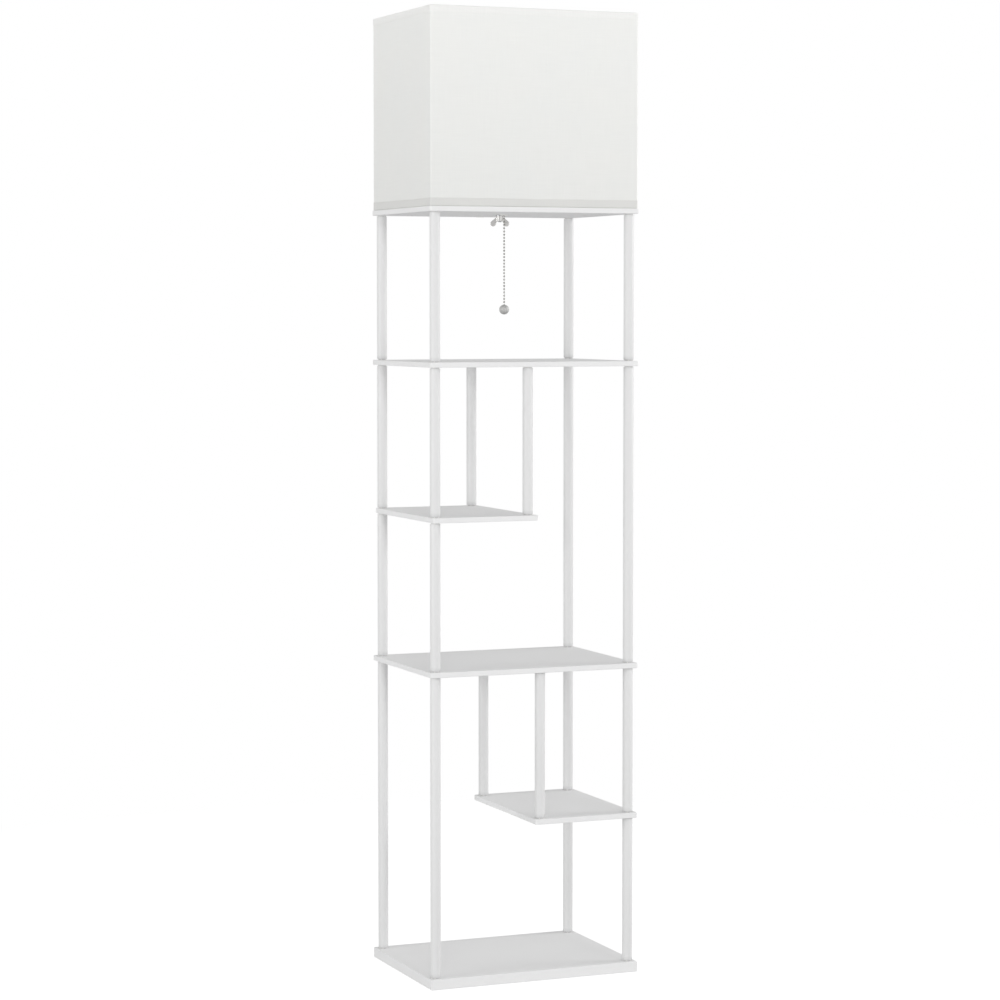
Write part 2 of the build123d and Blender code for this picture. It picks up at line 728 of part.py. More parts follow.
# Shade fitter: the bottom wire, the ring that sits on the holder's shoulder, and four bent arms.
fitter_ring_radius = fitter_ring_diameter / 2
fitter_level = holder_shoulder + fitter_ring_thickness / 2
arm_runs = [
    ((1, 0, 0), wire_half_x),
    ((-1, 0, 0), wire_half_x),
    ((0, 1, 0), wire_half_y - holder_setback),
    ((0, -1, 0), wire_half_y + holder_setback),
]
with BuildPart() as shade_fitter:
    add(frame_wire(bottom_wire_level).part)
    with BuildSketch(Plane.XY.offset(holder_shoulder)):
        with Locations((0, holder_setback)):
            Circle(fitter_ring_radius)
            Circle(holder_neck_diameter / 2 + fitter_clearance, mode=Mode.SUBTRACT)
    extrude(amount=fitter_ring_thickness)
    for heading, reach in arm_runs:
        arm_normal = Vector(heading).cross(Vector(0, 0, 1))
        with BuildLine(Plane(origin=(0, holder_setback, 0), x_dir=heading, z_dir=arm_normal)) as arm:
            Polyline(
                (fitter_ring_radius - fitter_weld, fitter_level),
                (fitter_ring_radius + arm_shoulder, fitter_level),
                (reach - arm_foot, bottom_wire_level),
                (reach, bottom_wire_level),
            )
        with BuildSketch(Plane(origin=arm.line @ 0, z_dir=arm.line % 0)):
            RegularPolygon(wire_radius, wire_sides)
        sweep(path=arm.line, transition=Transition.RIGHT)
shade_fitter.part.label = "shade_fitter"
export_step(shade_fitter.part, "parts/shade_fitter.step")

# Switch plunger: the slider in the holder's cup that the chain pulls down.
plunger_bottom = plate_top + plunger_height
with BuildPart() as switch_plunger:
    with BuildSketch(Plane.XY.offset(plunger_bottom)):
        Circle(plunger_diameter / 2)
    extrude(amount=plunger_length)
switch_plunger.part.label = "switch_plunger"
export_step(switch_plunger.part, "parts/switch_plunger.step")

# Bead chain: each run is one solid, an eight-sided link through eight-sided beads that taper to
# their mouths.
pivot_level = plate_bottom - pivot_drop
link_level = pivot_level - bead_pitch
bead_shoulder = (bead_radius - bead_mouth_diameter / 2) * cos(pi / bead_sides)
bead_taper = degrees(atan2(bead_shoulder, bead_radius - bead_belt / 2))
with BuildPart() as bead:
    for direction in (1, -1):
        with BuildSketch():
            RegularPolygon(bead_radius, bead_sides)
        extrude(amount=direction * bead_belt / 2)
        with BuildSketch(Plane.XY.offset(direction * bead_belt / 2)):
            RegularPolygon(bead_radius, bead_sides)
        extrude(amount=direction * (bead_radius - bead_belt / 2), taper=bead_taper)


def bead_run(top, bead_levels):
    """Beads at their levels and one link through them, from the given top down into the lowest bead."""
    with BuildPart() as run:
        with BuildSketch(Plane.XY.offset(bead_levels[-1])):
            RegularPolygon(link_radius, bead_sides)
        extrude(amount=top - bead_levels[-1])
        with Locations(*[(0, 0, level) for level in bead_levels]):
            add(bead.part)
    return run


# Chain in the holder and the plate, down to the first pivot bead; it only slides.
upper_bead_count = int((plunger_bottom - pivot_level - bead_radius) / bead_pitch) + 1
upper_levels = [pivot_level + bead_pitch * count for count in range(upper_bead_count)]
chain_upper = bead_run(plunger_bottom, sorted(upper_levels, reverse=True))
chain_upper.part.label = "chain_upper"
export_step(chain_upper.part, "parts/chain_upper.step")

# Link that swings fore and aft on the first pivot bead, with the second pivot bead.
chain_link = bead_run(pivot_level - bead_radius - link_gap, [link_level])
chain_link.part.label = "chain_link"
export_step(chain_link.part, "parts/chain_link.step")

# Chain that hangs from the second pivot bead and swings to the sides.
lower_levels = [link_level - bead_pitch * (count + 1) for count in range(lower_bead_count)]
chain_lower = bead_run(link_level - bead_radius - link_gap, lower_levels)
chain_lower.part.label = "chain_lower"
export_step(chain_lower.part, "parts/chain_lower.step")

# Pull ball: bored from the top for the chain's last bead.
ball_radius = ball_diameter / 2
ball_top = lower_levels[-1] + ball_sink
ball_bore_radius = bead_radius + ball_bore_clearance
with BuildPart() as pull_ball:
    with Locations((0, 0, ball_top - ball_radius)):
        Sphere(ball_radius)
    with Locations((0, 0, ball_top)):
        Hole(ball_bore_radius, depth=ball_bore_depth)
    mouth = pull_ball.edges().filter_by(GeomType.CIRCLE).sort_by(Axis.Z)[-1]
    chamfer(mouth, ball_bore_chamfer)
pull_ball.part.label = "pull_ball"
export_step(pull_ball.part, "parts/pull_ball.step")
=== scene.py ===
import math
import random

import bmesh
import bpy
from mathutils import Matrix, Vector, noise


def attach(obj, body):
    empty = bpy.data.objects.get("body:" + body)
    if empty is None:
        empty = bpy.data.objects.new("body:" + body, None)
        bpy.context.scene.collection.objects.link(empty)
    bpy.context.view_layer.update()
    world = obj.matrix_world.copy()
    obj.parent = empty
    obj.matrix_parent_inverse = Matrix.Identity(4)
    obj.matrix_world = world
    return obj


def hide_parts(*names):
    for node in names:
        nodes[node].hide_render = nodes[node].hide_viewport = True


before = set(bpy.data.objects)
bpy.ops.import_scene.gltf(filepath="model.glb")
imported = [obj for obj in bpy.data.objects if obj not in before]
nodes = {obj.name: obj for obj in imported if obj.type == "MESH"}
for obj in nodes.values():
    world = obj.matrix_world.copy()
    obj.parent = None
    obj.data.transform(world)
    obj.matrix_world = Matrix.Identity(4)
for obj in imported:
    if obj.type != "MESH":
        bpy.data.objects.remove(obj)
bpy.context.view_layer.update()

# White shelf floor lamp, dressed on the CAD frame. Piece sizes are in millimetres, the scene in metres.
mm = 0.001
print("frame loaded:", len(nodes), "CAD pieces")

# Camera: fitted to the board edges and posts. A slight tilt keeps the shift small.
cameraFit = {
    "place": (-1.802, -4.347, 1.0507),  # m
    "turn": -22.436,  # degrees about Z
    "tilt": -3.413,  # degrees, below level
    "lens": 106.77,  # mm, on the 36 mm sensor
    "shiftY": -0.015,
    "reach": 100,  # m, how far it sees
}
camera = bpy.data.objects.new("camera", bpy.data.cameras.new("camera"))
camera.location = cameraFit["place"]
camera.rotation_euler = (math.radians(90 + cameraFit["tilt"]), 0, math.radians(cameraFit["turn"]))
camera.data.lens = cameraFit["lens"]
camera.data.shift_y = cameraFit["shiftY"]
camera.data.clip_end = cameraFit["reach"]
bpy.context.scene.collection.objects.link(camera)
bpy.context.scene.camera = camera
bpy.context.scene.view_settings.view_transform = "Standard"
print("camera set")


def linearColour(code):
    parts = [int(code[i : i + 2], 16) / 255 for i in (1, 3, 5)]
    return [p / 12.92 if p <= 0.04045 else ((p + 0.055) / 1.055) ** 2.4 for p in parts] + [1]


def addNode(tree, kind, settings={}, sockets={}):
    node = tree.nodes.new(kind)
    for name, value in settings.items():
        setattr(node, name, value)
    for name, value in sockets.items():
        if isinstance(value, bpy.types.NodeSocket):
            tree.links.new(value, node.inputs[name])
        else:
            node.inputs[name].default_value = value
    return node


def emptyTree(owner):  # of a material or the world
    owner.use_nodes = True
    owner.node_tree.nodes.clear()
    return owner.node_tree


def startMaterial(name, sockets):
    material = bpy.data.materials.new(name)
    tree = emptyTree(material)
    shader = addNode(tree, "ShaderNodeBsdfPrincipled", sockets=sockets)
    addNode(tree, "ShaderNodeOutputMaterial", sockets={"Surface": shader.outputs[0]})
    place = addNode(tree, "ShaderNodeTexCoord").outputs["Object"]
    return material, tree, shader, place


def perSize(size):  # texture scale for a pattern that repeats about every size mm
    return 1 / (size * mm)


def varySurface(tree, shader, pattern, roughness, drift, relief, height):
    # the roughness drifts with one pattern, and another stands up by height in mm
    gloss = addNode(
        tree,
        "ShaderNodeMapRange",
        sockets={"Value": pattern, "To Min": roughness + drift[0], "To Max": roughness + drift[1]},
    )
    bump = addNode(tree, "ShaderNodeBump", sockets={"Height": relief, "Distance": height * mm})
    tree.links.new(gloss.outputs[0], shader.inputs["Roughness"])
    tree.links.new(bump.outputs[0], shader.inputs["Normal"])


def lacqueredBoard():
    # MDF, sprayed with matt lacquer: an even white with no shine, a very faint orange peel and slow
    # drifts in tone
    look = {
        "colour": "#f4f4f4",
        "drift": "#f1f1f1",
        "driftSize": 90,  # mm
        "peelSize": 3,  # mm, coarser than the real 1 mm, which wouldn't show
        "peelHeight": 0.006,  # mm
        "roughness": 0.7,
        "gloss": 0.0,  # it mirrors nothing, even at a low angle
        "ior": 1.5,
    }
    material, tree, shader, place = startMaterial(
        "Matt lacquered MDF",
        {"Roughness": look["roughness"], "IOR": look["ior"], "Specular IOR Level": look["gloss"]},
    )
    drift = addNode(
        tree, "ShaderNodeTexNoise", sockets={"Vector": place, "Scale": perSize(look["driftSize"])}
    )
    tone = addNode(
        tree,
        "ShaderNodeMix",
        {"data_type": "RGBA"},
        {0: drift.outputs[0], 6: linearColour(look["colour"]), 7: linearColour(look["drift"])},
    )
    peel = addNode(
        tree,
        "ShaderNodeTexNoise",
        sockets={"Vector": place, "Scale": perSize(look["peelSize"]), "Detail": 3},
    )
    bump = addNode(
        tree, "ShaderNodeBump", sockets={"Height": peel.outputs[0], "Distance": look["peelHeight"] * mm}
    )
    tree.links.new(tone.outputs[2], shader.inputs["Base Color"])
    tree.links.new(bump.outputs[0], shader.inputs["Normal"])
    return material


def powderCoat(name, colour, roughness, footShadeTone=None):
    # steel, powder coated and baked: slightly pebbled, a broad soft highlight down the round, and a post's
    # colour is painted darker towards its foot: painted shade where it stands on a board
    look = {
        "pebbleSize": 1.2,  # mm, about twice the real grain
        "pebbleHeight": 0.012,  # mm
        "glossDrift": (-0.05, 0.07),
        "footHeight": 8,  # mm, how far up a post the painted shade at its foot reaches
        "ior": 1.5,
    }
    material, tree, shader, place = startMaterial(
        name, {"Base Color": linearColour(colour), "IOR": look["ior"]}
    )
    # painted shade: the colour darkens over the last few mm above the board
    if footShadeTone:
        height = addNode(tree, "ShaderNodeSeparateXYZ", sockets={0: place}).outputs[2]
        paintedFootShade = addNode(
            tree,
            "ShaderNodeMapRange",
            sockets={"Value": height, "From Max": look["footHeight"] * mm, "To Min": footShadeTone},
        )
        tone = addNode(
            tree,
            "ShaderNodeVectorMath",
            {"operation": "SCALE"},
            {0: linearColour(colour)[:3], "Scale": paintedFootShade.outputs[0]},
        )
        tree.links.new(tone.outputs[0], shader.inputs["Base Color"])
    pebble = addNode(
        tree,
        "ShaderNodeTexNoise",
        sockets={"Vector": place, "Scale": perSize(look["pebbleSize"]), "Detail": 4},
    ).outputs[0]
    varySurface(tree, shader, pebble, roughness, look["glossDrift"], pebble, look["pebbleHeight"])
    return material


def platedMetal(name, colour, blotch, roughness, grainSize, grainHeight):
    # plated steel: the plating's cloudy blotches change tone and gloss, over the grain of the metal below
    look = {
        "blotchSize": 5,  # mm
        "glossDrift": (-0.06, 0.08),
    }
    material, tree, shader, place = startMaterial(name, {"Metallic": 1})
    cloud = addNode(
        tree,
        "ShaderNodeTexNoise",
        sockets={"Vector": place, "Scale": perSize(look["blotchSize"]), "Detail": 2},
    ).outputs[0]
    tone = addNode(
        tree,
        "ShaderNodeMix",
        {"data_type": "RGBA"},
        {0: cloud, 6: linearColour(colour), 7: linearColour(blotch)},
    )
    tree.links.new(tone.outputs[2], shader.inputs["Base Color"])
    grain = addNode(
        tree,
        "ShaderNodeTexNoise",
        sockets={"Vector": place, "Scale": perSize(grainSize), "Detail": 3},
    ).outputs[0]
    varySurface(tree, shader, cloud, roughness, look["glossDrift"], grain, grainHeight)
    return material


def mouldedPlastic(name, colour, roughness, ior, glow=0.0):
    # injection moulded: smooth skin with a faint flow ripple, a little light bleeding through
    look = {
        "rippleSize": 4,  # mm
        "rippleHeight": 0.01,  # mm
        "glossDrift": (-0.03, 0.05),
        "bleed": (0.002, 0.0018, 0.0016),  # m
    }
    material, tree, shader, place = startMaterial(
        name,
        {
            "Base Color": linearColour(colour),
            "IOR": ior,
            "Subsurface Weight": glow,
            "Subsurface Radius": look["bleed"],
            "Subsurface Scale": 1,
        },
    )
    ripple = addNode(
        tree,
        "ShaderNodeTexNoise",
        sockets={"Vector": place, "Scale": perSize(look["rippleSize"]), "Detail": 2},
    ).outputs[0]
    varySurface(tree, shader, ripple, roughness, look["glossDrift"], ripple, look["rippleHeight"])
    return material


def wovenLinen(name, colour):
    # linen, plain weave, starched and glued to a stiff backing: matt, with slubs, the thicker stretches
    # of thread, that run both ways
    look = {
        "threadSpacing": 0.7,  # mm
        "weaveHeight": 0.07,  # mm
        "slubLength": 45,  # mm
        "slubWidth": 1.6,  # mm, about twice the real width, to show at all
        "slubHeight": 0.8,  # share of the weave's
        "slubSpread": (0.6, 1.4),  # where the two noises added up mostly lie
        "slubTone": (0.98, 1.012),  # share of the tone, from thin thread to thick
        "cloudSize": 70,  # mm, slow drifts from warm to cool
        "paintedGlowLevels": (1206, 1510),  # mm
        "glow": (0.96, 1.045),  # share of the tone at those levels: painted light, lighter towards the open top
        "roughness": 0.85,
        "ior": 1.45,
        "sheen": 0.12,
    }
    material, tree, shader, place = startMaterial(
        name, {"Roughness": look["roughness"], "IOR": look["ior"], "Sheen Weight": look["sheen"]}
    )
    split = addNode(tree, "ShaderNodeSeparateXYZ", sockets={0: place}).outputs
    # x + y runs along every side of the shade, so one pattern goes round it
    along = addNode(tree, "ShaderNodeMath", {"operation": "ADD"}, {0: split[0], 1: split[1]})
    flat = addNode(tree, "ShaderNodeCombineXYZ", sockets={0: along.outputs[0], 2: split[2]}).outputs[0]
    wavePeriod = 0.31416  # m, of a wave texture at scale 1; one wave is two threads, one over, one under
    threads = [
        addNode(
            tree,
            "ShaderNodeTexWave",
            {"bands_direction": direction},
            {"Vector": flat, "Scale": wavePeriod / (2 * look["threadSpacing"] * mm)},
        ).outputs[1]
        for direction in ("X", "Z")
    ]
    weave = addNode(tree, "ShaderNodeMath", {"operation": "MULTIPLY"}, {0: threads[0], 1: threads[1]})
    slubs = []
    for across, up in ((look["slubLength"], look["slubWidth"]), (look["slubWidth"], look["slubLength"])):
        stretch = {0: flat, 1: (perSize(across), 0, perSize(up))}
        spread = addNode(tree, "ShaderNodeVectorMath", {"operation": "MULTIPLY"}, stretch).outputs[0]
        streaks = {"Vector": spread, "Scale": 1, "Detail": 1}
        slubs.append(addNode(tree, "ShaderNodeTexNoise", sockets=streaks).outputs[0])
    slub = addNode(tree, "ShaderNodeMath", {"operation": "ADD"}, {0: slubs[0], 1: slubs[1]}).outputs[0]
    cloud = addNode(
        tree,
        "ShaderNodeTexNoise",
        sockets={"Vector": place, "Scale": perSize(look["cloudSize"]), "Detail": 1},
    )
    warmth = addNode(
        tree,
        "ShaderNodeMix",
        {"data_type": "RGBA"},
        {0: cloud.outputs[0], 6: linearColour(colour[0]), 7: linearColour(colour[1])},
    )
    # a thick thread is lighter than a thin one, and the colour is painted lighter towards the open top:
    # painted light, for the light that falls in there and comes through the cloth
    tone = warmth.outputs[2]
    for value, reach, share in (
        (slub, look["slubSpread"], look["slubTone"]),
        (split[2], [level * mm for level in look["paintedGlowLevels"]], look["glow"]),
    ):
        spread = {"From Min": reach[0], "From Max": reach[1], "To Min": share[0], "To Max": share[1]}
        scale = addNode(tree, "ShaderNodeMapRange", sockets={"Value": value, **spread}).outputs[0]
        scaled = {0: tone, "Scale": scale}
        tone = addNode(tree, "ShaderNodeVectorMath", {"operation": "SCALE"}, scaled).outputs[0]
    relief = addNode(
        tree,
        "ShaderNodeMath",
        {"operation": "MULTIPLY_ADD"},
        {0: slub, 1: look["slubHeight"], 2: weave.outputs[0]},
    )
    bump = addNode(
        tree, "ShaderNodeBump", sockets={"Height": relief.outputs[0], "Distance": look["weaveHeight"] * mm}
    )
    tree.links.new(tone, shader.inputs["Base Color"])
    tree.links.new(bump.outputs[0], shader.inputs["Normal"])
    return material


boardLacquer = lacqueredBoard()
# the tube's colour falls to 0.8 of itself at its foot: painted shade
tubeCoat = powderCoat("White powder-coated steel tube", "#e6e6e6", 0.45, 0.8)
wireCoat = powderCoat("White coated wire", "#e9e9e7", 0.45)
screwCoat = powderCoat("White coated screw", "#ececec", 0.42)
zincPlate = platedMetal("Bright zinc-plated steel", "#c9cbcd", "#b9bcbe", 0.32, 0.5, 0.004)
nutNickel = platedMetal("Nickel-plated cast nut", "#cac9c7", "#bebdbb", 0.28, 0.6, 0.02)
chainNickel = platedMetal("Nickel-plated bead chain", "#a9a8a5", "#9b9a97", 0.3, 0.4, 0.002)
ballNickel = platedMetal("Satin nickel-plated ball", "#c1c1c0", "#bdbdbc", 0.72, 0.3, 0.004)
linerBrass = platedMetal("Rolled brass sheet", "#d0ac62", "#c39c50", 0.3, 0.5, 0.003)
capNickel = platedMetal("Nickel-plated bulb cap", "#c6c5c2", "#b9b8b5", 0.28, 0.6, 0.003)
holderPlastic = mouldedPlastic("White urea lamp-holder plastic", "#efeeea", 0.22, 1.55)
nylon = mouldedPlastic("Natural moulded nylon", "#e8e7e1", 0.42, 1.53, 0.1)
bushingNylon = mouldedPlastic("White moulded nylon", "#efefec", 0.4, 1.53, 0.05)
bulbPlastic = mouldedPlastic("White polycarbonate housing", "#f1f1ef", 0.26, 1.58)
opalGlobe = mouldedPlastic("Opal polycarbonate globe", "#f4f3f0", 0.3, 1.58, 0.35)
shadeLinen = wovenLinen("White linen on stiff backing", ("#f4f4f1", "#f2f3f1"))
# one linen in three tones: the top tape is painted lighter and the bottom tape painted darker than the cloth,
# painted light and painted shade for how light falls on the two rims
litTopHemLinen = wovenLinen("White linen tape, top fold", ("#f6f6f4", "#f5f5f3"))
shadedLowHemLinen = wovenLinen("White linen tape, bottom fold", ("#e7e7e4", "#e4e4e2"))
shadeLining = mouldedPlastic("White styrene lining", "#f2f2f0", 0.38, 1.55, 0.1)
print("finishes made:", len(bpy.data.materials))


def evenly(low, high, steps):
    return [low + (high - low) * k / steps for k in range(steps + 1)]


def turnsRound(segments):
    return [2 * math.pi * i / segments for i in range(segments)]


def easeCorners(points, ease, steps=3, closed=False):
    # each corner of a profile becomes a small curve
    most = 0.45  # of an edge's length, so that the curves at its two ends don't meet
    eased = []
    for i, point in enumerate(points):
        if not closed and i in (0, len(points) - 1):
            eased.append(Vector(point))
            continue
        before, here, after = (Vector(p) for p in (points[i - 1], point, points[(i + 1) % len(points)]))
        reach = min(ease, (before - here).length * most, (after - here).length * most)
        start = here + (before - here).normalized() * reach
        end = here + (after - here).normalized() * reach
        for t in evenly(0, 1, steps):
            eased.append((1 - t) ** 2 * start + 2 * t * (1 - t) * here + t * t * end)
    return eased


def meshFrom(bm, name, sharp=35):  # edges that bend by more than sharp degrees stay crisp
    bmesh.ops.recalc_face_normals(bm, faces=bm.faces)
    mesh = bpy.data.meshes.new(name)
    bm.to_mesh(mesh)
    bm.free()
    mesh.shade_smooth()
    mesh.set_sharp_from_angle(angle=math.radians(sharp))
    return mesh


def bakeMesh(item):
    # the mesh that an object shows, with its modifiers or bevel worked in
    bpy.context.scene.collection.objects.link(item)
    mesh = bpy.data.meshes.new_from_object(item.evaluated_get(bpy.context.evaluated_depsgraph_get()))
    bpy.data.objects.remove(item)
    mesh.shade_smooth()
    return mesh


def tagAll(bm):  # what is tagged stays put when spinProfile adds the next solid
    for f in bm.faces:
        f.tag = True


def spinProfile(bm, profile, at=(0, 0, 0), segments=48, closed=False, turn=None):
    # profile is (radius, height) in mm; at is the axis in mm; turn tips the whole solid
    weld = 0.002  # mm, corners nearer than that become one, such as those on the axis
    ring = [bm.verts.new((r * mm, 0, z * mm)) for r, z in profile]
    edges = [bm.edges.new(pair) for pair in zip(ring, ring[1:] + (ring[:1] if closed else []))]
    bmesh.ops.spin(
        bm,
        geom=ring + edges,
        axis=(0, 0, 1),
        cent=(0, 0, 0),
        angle=2 * math.pi,
        steps=segments,
        use_merge=True,
    )
    verts = {v for f in bm.faces if not f.tag for v in f.verts}
    bmesh.ops.remove_doubles(bm, verts=list(verts), dist=weld * mm)
    verts = {v for f in bm.faces if not f.tag for v in f.verts}
    place = Matrix.Translation(Vector(at) * mm)
    if turn:
        place = place @ turn
    bmesh.ops.transform(bm, matrix=place, verts=list(verts))
    tagAll(bm)


def addRing(bm, radii, level, at=(0, 0)):
    # a closed ring of corners round an axis, one for each radius in mm
    ring = []
    for turn, r in zip(turnsRound(len(radii)), radii):
        x, y = at[0] + r * math.cos(turn), at[1] + r * math.sin(turn)
        ring.append(bm.verts.new((x * mm, y * mm, level * mm)))
    return ring


def joinRings(bm, rings, ends=False):
    # faces from each closed ring of corners to the next, and over both ends of a solid one
    for low, high in zip(rings, rings[1:]):
        for i in range(len(low)):
            j = (i + 1) % len(low)
            bm.faces.new((low[i], low[j], high[j], high[i]))
    if ends:
        bm.faces.new(rings[0])
        bm.faces.new(rings[-1])


def threadedRod(bm, at, radius, depth, pitch, bottom, top, segments=48, perTurn=8):
    # a solid rod with a rolled thread: the radius follows a wave that climbs one pitch a turn
    rings = []
    for z in evenly(bottom, top, max(2, round((top - bottom) / pitch * perTurn))):
        fade = max(0, min(1, (top - z) / pitch, (z - bottom) / pitch))
        waves = [0.5 + 0.5 * math.cos(2 * math.pi * z / pitch - turn) for turn in turnsRound(segments)]
        rings.append(addRing(bm, [radius - depth * (1 - wave * fade) for wave in waves], z, at))
    joinRings(bm, rings, ends=True)


def addPiece(name, mesh, finish, node, body="stand", at=(0, 0, 0)):
    piece = bpy.data.objects.new(name, mesh)
    piece.location = [c * mm for c in at]
    bpy.context.scene.collection.objects.link(piece)
    if not mesh.materials:
        mesh.materials.append(finish)
    bpy.context.view_layer.update()
    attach(piece, body)
    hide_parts(node)
    return piece


def finishNode(name, finish):
    for slot in nodes[name].material_slots:
        slot.material = finish


# boards: the CAD boards as they are, lacquered
for name in ("base_board", "lower_half_shelf", "middle_shelf", "upper_half_shelf", "top_shelf", "lamp_plate"):
    finishNode(name, boardLacquer)
boardTop = {"base": 16, "lowerHalf": 254, "middle": 492, "upperHalf": 730, "top": 968, "plate": 1206}
boardThickness = 8  # all but the base
plateTop = boardTop["plate"]
plateUnder = plateTop - boardThickness
print("boards lacquered")

# posts: round tube with drawn-in, softened ends
post = {
    "diameter": 16,
    "wall": 1,
    "neckHeight": 1.7,  # the ends are drawn in, so a fine shadow line shows at each board
    "neckDepth": 1.4,
    "rimEase": 0.4,
    "shortLength": 230,
    "longLength": 468,
    "x": 163,
    "y": 117,
    "lowerInnerX": 12,
    "upperInnerX": -9,
}
postRuns = {  # x, the board below, length
    "base_left": (-post["x"], "base", post["longLength"]),
    "base_right": (post["x"], "base", post["shortLength"]),
    "lower_right": (post["x"], "lowerHalf", post["shortLength"]),
    "lower_inner": (post["lowerInnerX"], "lowerHalf", post["shortLength"]),
    "middle_left": (-post["x"], "middle", post["shortLength"]),
    "middle_right": (post["x"], "middle", post["longLength"]),
    "upper_left": (-post["x"], "upperHalf", post["shortLength"]),
    "upper_inner": (post["upperInnerX"], "upperHalf", post["shortLength"]),
    "top_left": (-post["x"], "top", post["shortLength"]),
    "top_right": (post["x"], "top", post["shortLength"]),
}
postMeshes = {}
for length in (post["shortLength"], post["longLength"]):
    tubeRadius, neckHeight = post["diameter"] / 2, post["neckHeight"]
    neckRadius = tubeRadius - post["neckDepth"]
    boreRadius = neckRadius - post["wall"]
    loop = [
        (neckRadius, 0),
        (neckRadius, neckHeight),
        (tubeRadius, neckHeight),
        (tubeRadius, length - neckHeight),
        (neckRadius, length - neckHeight),
        (neckRadius, length),
        (boreRadius, length),
        (boreRadius, 0),
    ]
    bm = bmesh.new()
    spinProfile(bm, easeCorners(loop, post["rimEase"], closed=True), closed=True)
    postMeshes[length] = meshFrom(bm, f"tube{length}")
for run, (x, board, length) in postRuns.items():
    for row, y in (("front", -post["y"]), ("back", post["y"])):
        addPiece(
            f"tube_{run}_{row}",
            postMeshes[length],
            tubeCoat,
            f"post_{run}_{row}",
            at=(x, y, boardTop[board]),
        )
print("posts dressed:", 2 * len(postRuns))

# screws and bolts: heads with a six-sided socket, zinc plated or coated
fastener = {
    "thread": 6,
    "socketWidth": 4,  # across flats
    "socketDepth": 2,
    "socketEase": 0.15,
    "floorEase": (0.05, 0.1),  # at the socket's floor, inwards and up
    "rimEase": 0.25,
    "tipShare": 0.7,  # of the shank's radius
    "tipHeight": 0.4,
    "segments": 48,
}
screw = {"rim": 5.95, "drop": (0.2, 2.95), "length": 22}  # drop: of the rim, and of the whole head
bolt = {"rim": 6, "drop": (3.3, 3.5), "length": 28}
boltRecess = 1.5  # how deep a bolt's head lies in the base


def socketHead(bm, head, place):
    # a head that faces up at z = 0: six-sided socket, eased rim, then its sides down to the shank's tip
    half, depth, mouth = fastener["socketWidth"] / 2, fastener["socketDepth"], fastener["socketEase"]
    inwards, upwards = fastener["floorEase"]
    rim, ease = head["rim"], fastener["rimEase"]
    rimDrop, headDrop = head["drop"]
    shank, end = fastener["thread"] / 2, head["length"]
    circle = [1] * fastener["segments"]
    hexagon = [1 / math.cos(turn % (math.pi / 3) - math.pi / 6) for turn in turnsRound(len(circle))]
    rings = []
    for shape, radius, height in (
        (hexagon, half - inwards, -depth),
        (hexagon, half, upwards - depth),
        (hexagon, half, -mouth),
        (hexagon, half + mouth, 0),
        (circle, rim - ease, 0),
        (circle, rim - ease * 0.3, -ease * 0.3),  # halfway round the rim's edge
        (circle, rim, -ease),
        (circle, rim, -max(rimDrop, ease * 1.5)),
        (circle, shank, -headDrop),
        (circle, shank, -end),
        (circle, shank * fastener["tipShare"], -end - fastener["tipHeight"]),
    ):
        rings.append(addRing(bm, [radius * share for share in shape], height))
    joinRings(bm, rings, ends=True)
    bmesh.ops.transform(bm, matrix=place, verts=[v for ring in rings for v in ring])


def placeHeads(name, head, spots):
    # spots are (x, y, z, upside down); one mesh holds a head at each
    bm = bmesh.new()
    for x, y, z, flipped in spots:
        turn = Matrix.Rotation(math.pi, 4, "X") if flipped else Matrix.Identity(4)
        socketHead(bm, head, Matrix.Translation(Vector((x, y, z)) * mm) @ turn)
    return meshFrom(bm, name)


rows = (-post["y"], post["y"])
corners = [(x, y) for x in (-post["x"], post["x"]) for y in rows]
innerSpots = []
for x, shelf, above in (
    (post["lowerInnerX"], "lowerHalf", "middle"),
    (post["upperInnerX"], "upperHalf", "top"),
):
    for y in rows:
        innerSpots += [(x, y, boardTop[shelf] - boardThickness, True), (x, y, boardTop[above], False)]
plateSpots = [(x, y, plateTop, False) for x, y in corners]
boltSpots = [(x, y, boltRecess, True) for x, y in corners]
for name, head, spots, finish, node, slot in (
    ("inner_screws", screw, innerSpots, screwCoat, "inner_post_screws", "powder_coated_tube"),
    ("lamp_plate_screws", screw, plateSpots, zincPlate, "plate_screws", "zinc_plated_steel"),
    ("foot_bolts", bolt, boltSpots, zincPlate, "base_bolts", "zinc_plated_steel"),
):
    addPiece(name, placeHeads(name, head, spots), finish, node)
finishNode("through_studs", zincPlate)
finishNode("post_plugs", nylon)
print("screws and bolts dressed")

# wing nut: cast, so its wings run into the hub with fillets and every edge is soft
lampY = 18  # the nut, the holder and the bulb stand this far behind the chain
axis = (0, lampY, 0)
nut = {
    "hubHeight": 9,
    "hubRadii": (6, 4.8),  # at its top and its foot
    "collarHeight": 2,
    "span": 30,
    "wingHeight": 17,
    "wingThickness": 2.6,
    "wingSpare": 0.1,  # each side, which the smoothing takes off again
    "lobeRadius": 4.5,
    "lobeSteps": 24,
    "rootX": 3.8,
    "rootMargin": 1.3,
    "turn": -22,  # degrees
    "voxel": 0.3,
    "smoothing": (5, 0.5),  # rounds, and how far each goes
}
washer = {"hole": 3.3, "radius": 7, "thickness": 1, "ease": 0.2}
stud = {"radius": 2.98, "threadDepth": 0.35, "pitch": 1, "bottom": 1186.7, "top": 1214}
washerUnder = plateUnder - washer["thickness"]


